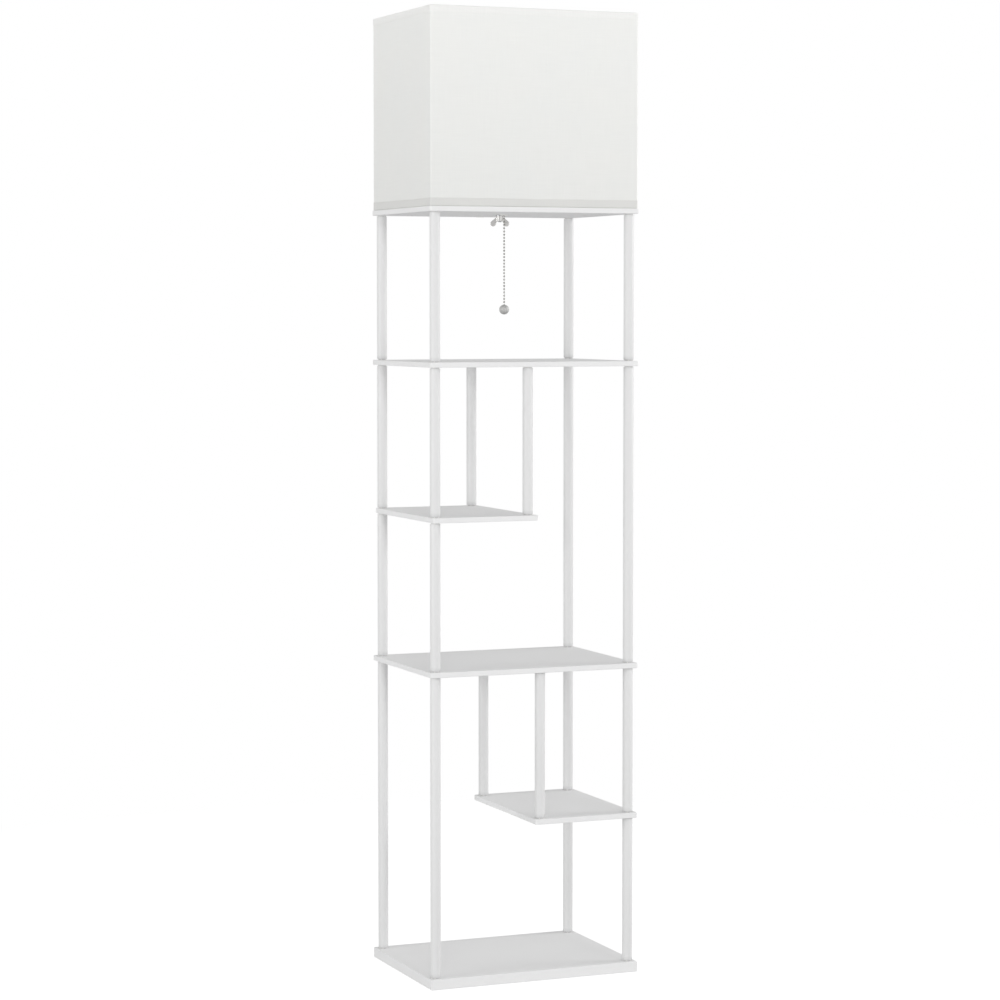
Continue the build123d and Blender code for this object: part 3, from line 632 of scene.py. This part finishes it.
def wingOutline():
    # tangent lines from the wing's root to the round lobe at its tip
    lobe = nut["lobeRadius"]
    tip = Vector((nut["span"] / 2 - lobe, lobe - nut["wingHeight"]))
    low = Vector((nut["rootX"], nut["rootMargin"] - nut["hubHeight"]))
    high = Vector((nut["rootX"], -nut["rootMargin"]))
    touch = []
    for root, side in ((high, 1), (low, -1)):
        reach = tip - root
        heading = math.atan2(reach.y, reach.x) + side * math.asin(lobe / reach.length)
        touch.append(heading + side * math.pi / 2)
    start, end = touch
    while end > start:
        end -= 2 * math.pi
    arc = evenly(start, end, nut["lobeSteps"])
    return [low, high] + [tip + lobe * Vector((math.cos(a), math.sin(a))) for a in arc]


bm = bmesh.new()
half = nut["wingThickness"] / 2 + nut["wingSpare"]
for side in (1, -1):
    front = [bm.verts.new((side * p.x, -half, p.y)) for p in wingOutline()]
    back = [bm.verts.new((side * p.x, half, p.y)) for p in wingOutline()]
    bm.faces.new(front)
    bm.faces.new(back)
    joinRings(bm, [front, back])
bmesh.ops.scale(bm, vec=(mm, mm, mm), verts=bm.verts)
tagAll(bm)
hubRadius, hubFoot = nut["hubRadii"]
hub = [
    (0, -nut["hubHeight"]),
    (hubFoot, -nut["hubHeight"]),
    (hubRadius, -nut["collarHeight"]),
    (hubRadius, 0),
    (0, 0),
]
spinProfile(bm, hub)
roughNut = bpy.data.objects.new("rough_nut", meshFrom(bm, "wingNut", 80))
remesh = roughNut.modifiers.new("remesh", "REMESH")
remesh.mode = "VOXEL"
remesh.voxel_size = nut["voxel"] * mm
soften = roughNut.modifiers.new("soften", "SMOOTH")
soften.iterations, soften.factor = nut["smoothing"]
castNut = bakeMesh(roughNut)
castNut.transform(
    Matrix.Translation(Vector((0, lampY, washerUnder)) * mm)
    @ Matrix.Rotation(math.radians(nut["turn"]), 4, "Z")
)
addPiece("cast_wing_nut", castNut, nutNickel, "wing_nut")

bm = bmesh.new()
threadedRod(bm, axis, stud["radius"], stud["threadDepth"], stud["pitch"], stud["bottom"], stud["top"])
studMesh = meshFrom(bm, "stud", 60)
addPiece("threaded_stud", studMesh, zincPlate, "holder_stud")
bm = bmesh.new()
loop = [
    (washer["hole"], washerUnder),
    (washer["radius"], washerUnder),
    (washer["radius"], plateUnder),
    (washer["hole"], plateUnder),
]
spinProfile(bm, easeCorners(loop, washer["ease"], 2, closed=True), axis, closed=True)
addPiece("pressed_washer", meshFrom(bm, "washer"), zincPlate, "washer")
print("wing nut cast")

# bead chain: hollow rolled beads on pins
chain = {
    "beadDiameter": 3.2,
    "pitch": 5.06,
    "pinDiameter": 0.65,
    "lipDiameter": 1.35,  # the turned-in lip where a pin leaves a bead
    "lipTurn": 0.1,
    "lipDepths": (0.25, 0.35),
    "pinDrop": 0.4,  # a swinging run's pin starts this far below the bead above
    "pivotLevel": 1191.9,
    "upperBeads": 5,
    "lowerBeads": 26,
    "segments": 20,
    "arcSteps": 12,
}
slider = {"radius": 2.7, "bottom": 1216, "top": 1223, "ease": 0.3}  # the chain's upper end hangs on it


def bead(bm, level):
    r, lip = chain["beadDiameter"] / 2, chain["lipDiameter"] / 2
    end = math.pi / 2 - math.asin(lip / r)
    skin = [(r * math.cos(a), r * math.sin(a)) for a in evenly(-end, end, chain["arcSteps"])]
    drop, hole = skin[-1][1], lip - chain["lipTurn"]
    shallow, deep = chain["lipDepths"]
    mouth = [(hole, drop - shallow), (0, drop - deep)]
    foot = [(0, deep - drop), (hole, shallow - drop)]
    spinProfile(bm, foot + skin + mouth, (0, 0, level), chain["segments"])


def pin(bm, low, high):
    r = chain["pinDiameter"] / 2
    spinProfile(bm, [(0, low), (r, low), (r, high), (0, high)], segments=12)


pivot, pitch = chain["pivotLevel"], chain["pitch"]
linkLevel = pivot - pitch
lowest = linkLevel - pitch * chain["lowerBeads"]
upperLevels = [pivot + pitch * k for k in range(chain["upperBeads"])]
lowerLevels = [linkLevel - pitch * (k + 1) for k in range(chain["lowerBeads"])]
runs = {  # node, body, bead levels, the pin's ends
    "upper_chain": ("chain_upper", "pull_run", upperLevels, (pivot, slider["bottom"])),
    "chain_joint": ("chain_link", "swing_link", [linkLevel], (linkLevel, pivot - chain["pinDrop"])),
    "hanging_beads": ("chain_lower", "hanging_chain", lowerLevels, (lowest, linkLevel - chain["pinDrop"])),
}
for name, (node, body, levels, (low, high)) in runs.items():
    bm = bmesh.new()
    pin(bm, low, high)
    for level in levels:
        bead(bm, level)
    addPiece(name, meshFrom(bm, name, 50), chainNickel, node, body)

pullBall = {
    "diameter": 15.6,
    "centre": 1048.48,
    "bore": 3.3,
    "boreDepth": 4,
    "mouthEase": 0.5,
    "lip": ((0.15, 0.02), (0, -0.3)),  # out from the bore and up from the mouth's edge, round the mouth
    "drillTip": 0.4,
    "arcSteps": 40,
    "segments": 72,
}
r, bore = pullBall["diameter"] / 2, pullBall["bore"] / 2
mouth = bore + pullBall["mouthEase"]
top = math.sqrt(r * r - mouth**2)
arc = evenly(-math.pi / 2, math.pi / 2 - math.atan2(mouth, top), pullBall["arcSteps"])[1:]
boreFloor = r - pullBall["boreDepth"]
profile = [
    (0, -r),
    *((r * math.cos(a), r * math.sin(a)) for a in arc),
    *((bore + out, top + up) for out, up in pullBall["lip"]),
    (bore, boreFloor),
    (0, boreFloor - pullBall["drillTip"]),
]
bm = bmesh.new()
spinProfile(bm, profile, (0, 0, pullBall["centre"]), pullBall["segments"])
ballMesh = meshFrom(bm, "ball", 40)
addPiece("chain_ball", ballMesh, ballNickel, "pull_ball", "hanging_chain")
print("chain strung:", chain["upperBeads"] + chain["lowerBeads"] + 1, "beads")

# bushings and the switch's slider
bushing = {"flangeReach": 2, "flangeHeight": 1.2, "ease": 0.4}
flangeUnder = plateUnder - bushing["flangeHeight"]
sleeves = {  # node, how far behind the chain, bore, wall
    "chain_sleeve": ("chain_bushing", 0, 4.8, 2),
    "cord_sleeve": ("cord_bushing", 100, 7, 1.6),
}
for name, (node, y, bore, wall) in sleeves.items():
    inner, outer = bore / 2, bore / 2 + wall
    flange = outer + bushing["flangeReach"]
    loop = [
        (inner, flangeUnder),
        (flange, flangeUnder),
        (flange, plateUnder),
        (outer, plateUnder),
        (outer, plateTop),
        (inner, plateTop),
    ]
    bm = bmesh.new()
    spinProfile(bm, easeCorners(loop, bushing["ease"], closed=True), (0, y, 0), closed=True)
    addPiece(name, meshFrom(bm, name), bushingNylon, node)
r, low, high = slider["radius"], slider["bottom"], slider["top"]
bm = bmesh.new()
spinProfile(bm, easeCorners([(0, low), (r, low), (r, high), (0, high)], slider["ease"]), segments=32)
addPiece("switch_slider", meshFrom(bm, "slider"), nylon, "switch_plunger", "pull_run")

# lamp holder: moulded cup and neck, the neck threaded for the shade ring
holder = {
    "footRadius": 27,
    "footHeight": 4,
    "cupRadii": (25, 23.5),  # at the foot, at the shoulder
    "cupHeight": 26,
    "neckRadius": 20,
    "neckHeight": 30,
    "studHole": 3.05,
    "threadPitch": 3,
    "threadDepth": 1.1,
    "threadFullness": 0.6,  # below 1 rounds the thread's crests
    "threadEnds": (0.6, 1),  # above the shoulder, below the rim
    "threadFades": (1.2, 2),  # how far the thread takes to its full depth there
    "threadRows": 80,
    "coreShown": (1, 1.2),  # plain stretch of the neck above the shoulder and below the rim
    "socketRadius": 14.05,
    "socketDepth": 36,
    "ease": 0.9,
    "rimEase": 0.5,
    "segments": 72,
    "inletRadii": (3.5, 5.3),
    "inletDepths": (6, 3),  # of its hole and its outer side, inside the cup
    "inletReach": 4,
    "inletHeight": 9,
}
shoulder = plateTop + holder["cupHeight"]
rim = shoulder + holder["neckHeight"]
socketFloor = rim - holder["socketDepth"]
footRadius, footTop = holder["footRadius"], plateTop + holder["footHeight"]
cupLow, cupHigh = holder["cupRadii"]
neck, socket = holder["neckRadius"], holder["socketRadius"]
core = neck - holder["threadDepth"]
segments = holder["segments"]
coreAbove, coreBelow = holder["coreShown"]
cup = [
    (holder["studHole"], plateTop),
    (footRadius, plateTop),
    (footRadius, footTop),
    (cupLow, footTop),
    (cupHigh, shoulder),
    (core, shoulder),
    (core, shoulder + coreAbove),
]
well = [(core, rim - coreBelow), (core, rim), (socket, rim), (socket, socketFloor), (0, socketFloor)]
bm = bmesh.new()
spinProfile(bm, easeCorners(cup, holder["ease"]), axis, segments)
spinProfile(bm, easeCorners(well, holder["rimEase"]), axis, segments)
threadLow, threadHigh = shoulder + holder["threadEnds"][0], rim - holder["threadEnds"][1]
fadeIn, fadeOut = holder["threadFades"]
rings = []
for z in evenly(threadLow, threadHigh, holder["threadRows"]):
    fade = max(0, min(1, (threadHigh - z) / fadeOut, (z - shoulder) / fadeIn))
    radii = []
    for turn in turnsRound(segments):
        wave = max(0, math.cos(2 * math.pi * z / holder["threadPitch"] - turn)) ** holder["threadFullness"]
        radii.append(neck - holder["threadDepth"] * (1 - wave * fade))
    rings.append(addRing(bm, radii, z, axis))
joinRings(bm, rings)
tagAll(bm)
inletIn, inletOut = holder["inletRadii"]
holeDepth, sideDepth = holder["inletDepths"]
reach = holder["inletReach"]
inlet = [(inletOut, -sideDepth), (inletOut, reach), (inletIn, reach), (inletIn, -holeDepth)]
spinProfile(
    bm,
    easeCorners(inlet, holder["rimEase"]),
    (0, lampY + cupLow, plateTop + holder["inletHeight"]),
    32,
    turn=Matrix.Rotation(-math.pi / 2, 4, "X"),
)
holderMesh = meshFrom(bm, "holder", 45)
addPiece("moulded_lamp_holder", holderMesh, holderPlastic, "holder_body")
for name in ("screw_liner", "centre_contact", "bulb_contact"):
    finishNode(name, linerBrass)

# the ring that screws down the neck, scalloped for the fingers
gripRing = {
    "radius": 26,
    "clearance": 0.15,
    "grips": 12,
    "gripRadius": 2.5,
    "gripShare": 0.7,  # of a grip's radius, how deep it is cut
    "bottom": 1233.5,
    "height": 9,
    "ease": 0.7,
    "segments": 144,
}
ease, height, grips = gripRing["ease"], gripRing["height"], gripRing["grips"]
gripRadii = []
for turn in turnsRound(gripRing["segments"]):
    swing = (turn * grips / (2 * math.pi)) % 1
    gap = abs(swing - 0.5) * 2 * math.pi / grips * gripRing["radius"]
    scallop = max(0, gripRing["gripRadius"] ** 2 - gap**2) ** 0.5 * gripRing["gripShare"]
    gripRadii.append(gripRing["radius"] - scallop)
easedRadii = [r - ease for r in gripRadii]
boreRadii = [neck + gripRing["clearance"]] * len(gripRadii)
bm = bmesh.new()
rings = [
    addRing(bm, radii, gripRing["bottom"] + rise, axis)
    for radii, rise in (
        (boreRadii, 0),
        (easedRadii, 0),
        (gripRadii, ease),
        (gripRadii, height - ease),
        (easedRadii, height),
        (boreRadii, height),
    )
]
joinRings(bm, rings + rings[:1])
ringMesh = meshFrom(bm, "shadeRing", 40)
addPiece("scalloped_ring", ringMesh, holderPlastic, "shade_ring")
print("lamp holder moulded")

# bulb: opal globe on a flared housing, with a rolled screw cap
bulb = {
    "capRadius": 13.2,
    "capBottom": 1231.6,
    "capTop": 1257.6,
    "capPitch": 3.62,
    "capThread": 0.9,  # depth
    "capTaper": (4.5, 4),  # radius at the tip, height
    "collarRadius": 13,
    "flareBottom": 1263,
    "flareTop": 1289,
    "flareRadius": 22,
    "flareSteps": 16,
    "rim": ((0.3, 0.2), (1.5, 0.1)),  # in from the flare's edge and up, over the wall's top
    "wall": 1.5,
    "globeRadius": 30,
    "globeSteps": 48,
    "globeFoot": (1.4, 0.5),  # in from the flare's edge and up, hidden in the housing
    "seamGap": 0.35,
}
collar, wide, flareTop = bulb["collarRadius"], bulb["flareRadius"], bulb["flareTop"]
rise, gain = flareTop - bulb["flareBottom"], wide - collar
bend = (gain**2 + rise**2) / (2 * gain)
flare = []
for z in evenly(0, rise, bulb["flareSteps"]):
    flare.append((collar + bend - math.sqrt(bend**2 - z**2), bulb["flareBottom"] + z))
housing = [
    (collar - bulb["wall"], bulb["capTop"]),
    (collar, bulb["capTop"]),
    *flare,
    *((wide - inwards, flareTop + up) for inwards, up in bulb["rim"]),
]
bm = bmesh.new()
spinProfile(bm, housing, axis, segments)
addPiece("flared_housing", meshFrom(bm, "housing", 50), bulbPlastic, "bulb_housing")
radius = bulb["globeRadius"]
lift = math.sqrt(radius**2 - wide**2)  # from the housing's top to the globe's centre
arc = evenly(-math.atan2(lift, wide - bulb["seamGap"]), math.pi / 2, bulb["globeSteps"])
globe = [(radius * math.cos(a), flareTop + lift + radius * math.sin(a)) for a in arc]
globe[-1] = (0, globe[-1][1])
inwards, up = bulb["globeFoot"]
bm = bmesh.new()
spinProfile(bm, [(wide - inwards, flareTop + up)] + globe, axis, 96)
addPiece("opal_bulb", meshFrom(bm, "globe", 60), opalGlobe, "bulb_globe")
tipRadius, tipHeight = bulb["capTaper"]
thread = (bulb["capRadius"], bulb["capThread"], bulb["capPitch"])
capLow = bulb["capBottom"] + tipHeight
bm = bmesh.new()
threadedRod(bm, axis, *thread, capLow, bulb["capTop"], 64, 10)
tagAll(bm)
spinProfile(bm, [(tipRadius, bulb["capBottom"]), (thread[0] - thread[1], capLow)], axis, 64)
addPiece("screw_cap", meshFrom(bm, "cap", 60), capNickel, "bulb_base")
print("bulb made")

# shade: linen glued to a stiff lining, stretched over two wires, with a folded tape at each rim
shade = {
    "halfX": 174,
    "halfY": 127,
    "bottom": 1206,
    "top": 1510,
    "cornerRadius": 2.6,
    "leastRadius": 0.6,  # of the corners of an inner layer
    "cornerSteps": 6,
    "skinInset": 0.5,
    "skinThickness": 0.8,
    "skinDrop": 0.6,  # from each rim, under the tape
    "wave": 0.35,  # mm, how far the cloth strays from flat
    "waveSize": 110,  # mm
    "settle": 60,  # mm from a corner, where it is straight, to where it strays in full
    "seamX": -150,  # mm, the overlap on the back
    "seamWidth": 9,
    "seamRise": 0.35,
    "topTape": 10.5,
    "lowTape": 12.6,
    "innerTape": 8,
    "tapeThickness": 0.45,
    "tapeSlack": 1.4,  # between its legs, beyond the wire and the skin
    "tapeFold": ((0, 1.8), (0.15, 1), (0.6, 0.4), (1.7, 0)),  # inset and height, from a leg to the wire
    "tapeLining": ((0, 1.9), (0.1, 1.25), (0.45, 0.8)),  # the same inside, from the tape's thickness on
    "liningEnd": 1.75,
    "tapeWander": 0.7,  # mm, how unevenly the glued edge runs
    "tapeWaves": ((0.5, 47), (0.3, 19), (0.2, 8)),  # share of that, and size in mm
    "wireRadius": 1.5,
    "wireInset": 3.0,
    "wireBend": 2.2,
    "wireDrop": 2.2,  # a rim to its wire's axis
    "columns": 3.5,  # mm between mesh columns
    "rows": 60,
}


def shadePath(inset):
    # points and outward directions round the shade, from the middle of the back
    hx, hy = shade["halfX"] - inset, shade["halfY"] - inset
    r = max(shade["cornerRadius"] - inset, shade["leastRadius"])
    route = []
    last = middle = Vector((0, hy))
    for sx, sy, start in ((-1, 1, 90), (-1, -1, 180), (1, -1, 270), (1, 1, 0)):
        centre = Vector((sx * (hx - r), sy * (hy - r)))
        turns = [math.radians(a) for a in evenly(start, start + 90, shade["cornerSteps"])]
        outwards = [Vector((math.cos(a), math.sin(a))) for a in turns]
        arc = [(centre + r * out, out) for out in outwards]
        steps = max(2, round((arc[0][0] - last).length / shade["columns"]))
        route += [(last.lerp(arc[0][0], k / steps), arc[0][1]) for k in range(steps)]
        route += arc
        last = arc[-1][0]
    steps = round(last.x / shade["columns"])
    route += [(last.lerp(middle, k / steps), Vector((0, 1))) for k in range(1, steps)]
    return route


def flatness(point):
    # 0 at a corner, 1 well inside a side
    onSide = 3  # mm, a point nearer to a side than that lies on it
    fromX, fromY = shade["halfX"] - abs(point.x), shade["halfY"] - abs(point.y)
    along = fromX if fromY < onSide else fromY
    return min(1, max(0, along / shade["settle"])) if min(fromX, fromY) < onSide else 1


def strayed(point, direction, z):
    # the cloth's slow waves, and the overlap where its ends meet on the back
    out = shade["wave"] * flatness(point)
    out *= noise.noise(Vector((point.x, point.y * 1.3, z)) / shade["waveSize"])  # no side like another
    if direction.y > 0.9:  # the back
        edge = point.x - shade["seamX"]
        out += shade["seamRise"] * min(1, max(0, edge + 1)) * min(1, max(0, shade["seamWidth"] - edge))
    return point + direction * out


route = shadePath(shade["skinInset"])
low, high = shade["bottom"] + shade["skinDrop"], shade["top"] - shade["skinDrop"]
bm = bmesh.new()
grid = []
for z in evenly(low, high, shade["rows"]):
    outside, inside = [], []
    for point, direction in route:
        p = strayed(point, direction, z)
        q = p - direction * shade["skinThickness"]
        outside.append(bm.verts.new((p.x * mm, p.y * mm, z * mm)))
        inside.append(bm.verts.new((q.x * mm, q.y * mm, z * mm)))
    grid.append((outside, inside))
count = len(route)
for (lowOut, lowIn), (highOut, highIn) in zip(grid, grid[1:]):
    for i in range(count):
        j = (i + 1) % count
        bm.faces.new((lowOut[i], lowOut[j], highOut[j], highOut[i]))
        bm.faces.new((lowIn[j], lowIn[i], highIn[i], highIn[j])).material_index = 1
for outside, inside in (grid[0], grid[-1]):
    joinRings(bm, [outside, inside])
skinMesh = meshFrom(bm, "shadeCloth", 50)
skinMesh.materials.append(shadeLinen)
skinMesh.materials.append(shadeLining)
shadeCloth = addPiece("shade_cloth", skinMesh, shadeLinen, "shade_skin")


def foldedTape(name, edge, outerHeight, up, seed):
    # a strip folded over the wire at a rim: outside leg, rounded fold, inside leg
    wander = random.Random(seed)
    phases = [wander.uniform(0, 6.28) for _ in shade["tapeWaves"]]
    t, corner = shade["tapeThickness"], shade["cornerRadius"]
    depth = 2 * shade["wireRadius"] + shade["skinThickness"] + shade["tapeSlack"]
    fold = shade["tapeFold"]
    lining = [(t + inset, height) for inset, height in shade["tapeLining"]] + [(shade["liningEnd"], t)]
    route = shadePath(0)
    bm = bmesh.new()
    loops = []
    run = 0
    for i, (point, direction) in enumerate(route):
        run += (point - route[i - 1][0]).length if i else 0
        waves = zip(shade["tapeWaves"], phases)
        stray = sum(share * math.sin(run / size + phase) for (share, size), phase in waves)
        stray *= shade["tapeWander"] * flatness(point)
        out = outerHeight + stray
        back = shade["innerTape"] - stray * 0.5
        # inset and height round the section: its outer side, then its inner one back; both of the
        # tape's edges are pressed thin over their last 0.5 mm
        section = [
            (0.12, out),
            (0, out - 0.5),
            *fold,
            *((depth - inset, height) for inset, height in fold[::-1]),
            (depth, back - 0.5),
            (depth - 0.1, back),
            (depth - t, back),
            (depth - t, back - 0.5),
            *((depth - inset, height) for inset, height in lining),
            *lining[::-1],
            (t, out - 0.5),
            (t, out - 0.05),
        ]
        loop = []
        for inset, height in section:
            p = point - direction * inset
            if abs(direction.x) > 0.05 and abs(direction.y) > 0.05:
                # the tape turns the corner tightly inside
                diagonal = Vector((math.copysign(1, direction.x), math.copysign(1, direction.y)))
                p = point - direction * min(inset, corner) - diagonal * max(0, inset - corner)
            elif inset > corner:
                # the sides stop where the inner corner is
                limitX, limitY = shade["halfX"] - inset, shade["halfY"] - inset
                p = Vector((max(-limitX, min(limitX, p.x)), max(-limitY, min(limitY, p.y))))
            loop.append(bm.verts.new((p.x * mm, p.y * mm, (edge + up * height) * mm)))
        loops.append(loop)
    joinRings(bm, loops + loops[:1])
    return meshFrom(bm, name, 60)


topTapeMesh = foldedTape("topTape", shade["top"], shade["topTape"], -1, 3)
topTape = addPiece("top_tape", topTapeMesh, litTopHemLinen, "shade_top_hem")
lowTapeMesh = foldedTape("lowTape", shade["bottom"], shade["lowTape"], 1, 5)
lowTape = addPiece("bottom_tape", lowTapeMesh, shadedLowHemLinen, "shade_bottom_hem")


def roundWire(name, paths):
    # each path is (points in mm, closed)
    curve = bpy.data.curves.new(name, "CURVE")
    curve.dimensions = "3D"
    curve.bevel_depth = shade["wireRadius"] * mm
    curve.bevel_resolution = 4
    curve.use_fill_caps = True
    for points, closed in paths:
        spline = curve.splines.new("POLY")
        spline.points.add(len(points) - 1)
        for point, where in zip(spline.points, points):
            point.co = (*[c * mm for c in where], 1)
        spline.use_cyclic_u = closed
    return bakeMesh(bpy.data.objects.new(name, curve))


def wireRing(level):
    r = shade["wireBend"]
    hx, hy = (shade[half] - shade["wireInset"] - r for half in ("halfX", "halfY"))
    points = []
    for sx, sy, start in ((1, 1, 0), (-1, 1, 90), (-1, -1, 180), (1, -1, 270)):
        for a in evenly(math.radians(start), math.radians(start + 90), shade["cornerSteps"]):
            points.append((sx * hx + r * math.cos(a), sy * hy + r * math.sin(a), level))
    return points


topLevel, lowLevel = shade["top"] - shade["wireDrop"], shade["bottom"] + shade["wireDrop"]
topWire = roundWire("topWire", [(wireRing(topLevel), True)])
addPiece("top_wire", topWire, wireCoat, "shade_top_wire")

# the carrier: four arms bent down from a flat ring to the lower wire
arm = {
    "shoulder": 14,
    "foot": 22,
    "bend": 5,
    "rootInset": 4,  # an arm starts this far inside the ring's edge
    "rootRise": 0.6,
    "ringRadius": 27.5,
    "ringHole": 20.4,
    "ringThickness": 1.5,
    "ringEase": 0.35,
}
armLevel = shoulder + arm["ringThickness"] / 2
endX, endY = shade["halfX"] - shade["wireInset"], shade["halfY"] - shade["wireInset"]
wires = [(wireRing(lowLevel), True)]
for heading, reach in (
    ((1, 0), endX),
    ((-1, 0), endX),
    ((0, 1), endY - lampY),
    ((0, -1), endY + lampY),
):
    line = [
        (arm["ringRadius"] - arm["rootInset"], armLevel + arm["rootRise"]),
        (arm["ringRadius"] + arm["shoulder"], armLevel),
        (reach - arm["foot"], lowLevel),
        (reach, lowLevel),
    ]
    bent = easeCorners(line, arm["bend"], 6)
    wires.append(([(heading[0] * p[0], lampY + heading[1] * p[0], p[1]) for p in bent], False))
bm = bmesh.new()
bm.from_mesh(roundWire("fitterWire", wires))
tagAll(bm)
ringTop = shoulder + arm["ringThickness"]
loop = [
    (arm["ringHole"], shoulder),
    (arm["ringRadius"], shoulder),
    (arm["ringRadius"], ringTop),
    (arm["ringHole"], ringTop),
]
spinProfile(bm, easeCorners(loop, arm["ringEase"], closed=True), axis, segments, closed=True)
addPiece("shade_carrier", meshFrom(bm, "carrier", 40), wireCoat, "shade_fitter")
print("shade stretched")

# studio: white floor and sky, soft lamps
studio = {
    "ambient": 0.512,
    "floorColour": "#dcdcdc",
    "floorHalf": 20,  # m
    "floorDrop": 0.0002,  # m, so that it doesn't flicker through the base's underside
    "shadow": 0.25,  # how much of the floor's own shading the camera sees beside the lamp
    "shadowReach": (0.5, 1.6),  # m, that share fades to none between these distances
    "floorWhite": 1.25,  # so that lit floor comes out white beside the lamp too
    "lampSize": 2.4,  # m
    "aim": (0, 0, 0.85),  # m
}
lamps = {  # place in m, power in W
    "softboxHigh": ((-1.87, -4.64, 4.2), 35.8),
    "softboxLeft": ((-4.92, -0.87, 1.0), 74.2),
    "softboxFront": ((0.87, -4.92, 1.0), 55.4),
    "softboxRight": ((4.92, -0.87, 2.2), 83.4),
}
for name, (place, power) in lamps.items():
    lamp = bpy.data.lights.new(name, "AREA")
    lamp.shape = "DISK"
    lamp.size = studio["lampSize"]
    lamp.energy = power
    item = bpy.data.objects.new(name, lamp)
    item.location = place
    item.rotation_euler = (Vector(studio["aim"]) - Vector(place)).to_track_quat("-Z", "Y").to_euler()
    bpy.context.scene.collection.objects.link(item)


def seenStraight(tree):
    # 1 where the camera, a mirror-like surface or clear plastic looks, else 0
    light = addNode(tree, "ShaderNodeLightPath").outputs
    most = light["Is Camera Ray"]
    for ray in ("Is Glossy Ray", "Is Transmission Ray"):
        most = addNode(tree, "ShaderNodeMath", {"operation": "MAXIMUM"}, {0: most, 1: light[ray]}).outputs[0]
    return most


world = bpy.data.worlds.new("studio")
bpy.context.scene.world = world
tree = emptyTree(world)
strength = addNode(
    tree,
    "ShaderNodeMapRange",
    sockets={"Value": seenStraight(tree), "To Min": studio["ambient"], "To Max": 1.0},
)
sky = addNode(
    tree, "ShaderNodeBackground", sockets={"Color": (1, 1, 1, 1), "Strength": strength.outputs[0]}
)
addNode(tree, "ShaderNodeOutputWorld", sockets={"Surface": sky.outputs[0]})

paper = bpy.data.materials.new("White studio paper")
tree = emptyTree(paper)
spot = addNode(tree, "ShaderNodeTexCoord").outputs["Object"]
away = addNode(tree, "ShaderNodeVectorMath", {"operation": "LENGTH"}, {0: spot}).outputs["Value"]
near, far = studio["shadowReach"]
glow, hidden = (
    addNode(
        tree,
        "ShaderNodeMapRange",
        sockets={"Value": away, "From Min": near, "From Max": far, "To Min": beside, "To Max": 1.0},
    ).outputs[0]
    for beside in (studio["floorWhite"], 1 - studio["shadow"])
)
share = addNode(tree, "ShaderNodeMath", {"operation": "MULTIPLY"}, {0: seenStraight(tree), 1: hidden})
shaded = addNode(tree, "ShaderNodeBsdfDiffuse", sockets={"Color": linearColour(studio["floorColour"])})
white = addNode(tree, "ShaderNodeEmission", sockets={"Color": (1, 1, 1, 1), "Strength": glow})
mixed = addNode(
    tree, "ShaderNodeMixShader", sockets={0: share.outputs[0], 1: shaded.outputs[0], 2: white.outputs[0]}
)
addNode(tree, "ShaderNodeOutputMaterial", sockets={"Surface": mixed.outputs[0]})
bm = bmesh.new()
bmesh.ops.create_grid(bm, x_segments=1, y_segments=1, size=studio["floorHalf"])
floorMesh = bpy.data.meshes.new("floor")
bm.to_mesh(floorMesh)
bm.free()
floorMesh.materials.append(paper)
floor = bpy.data.objects.new("floor", floorMesh)
floor.location = (0, 0, -studio["floorDrop"])
bpy.context.scene.collection.objects.link(floor)
print("studio lit")
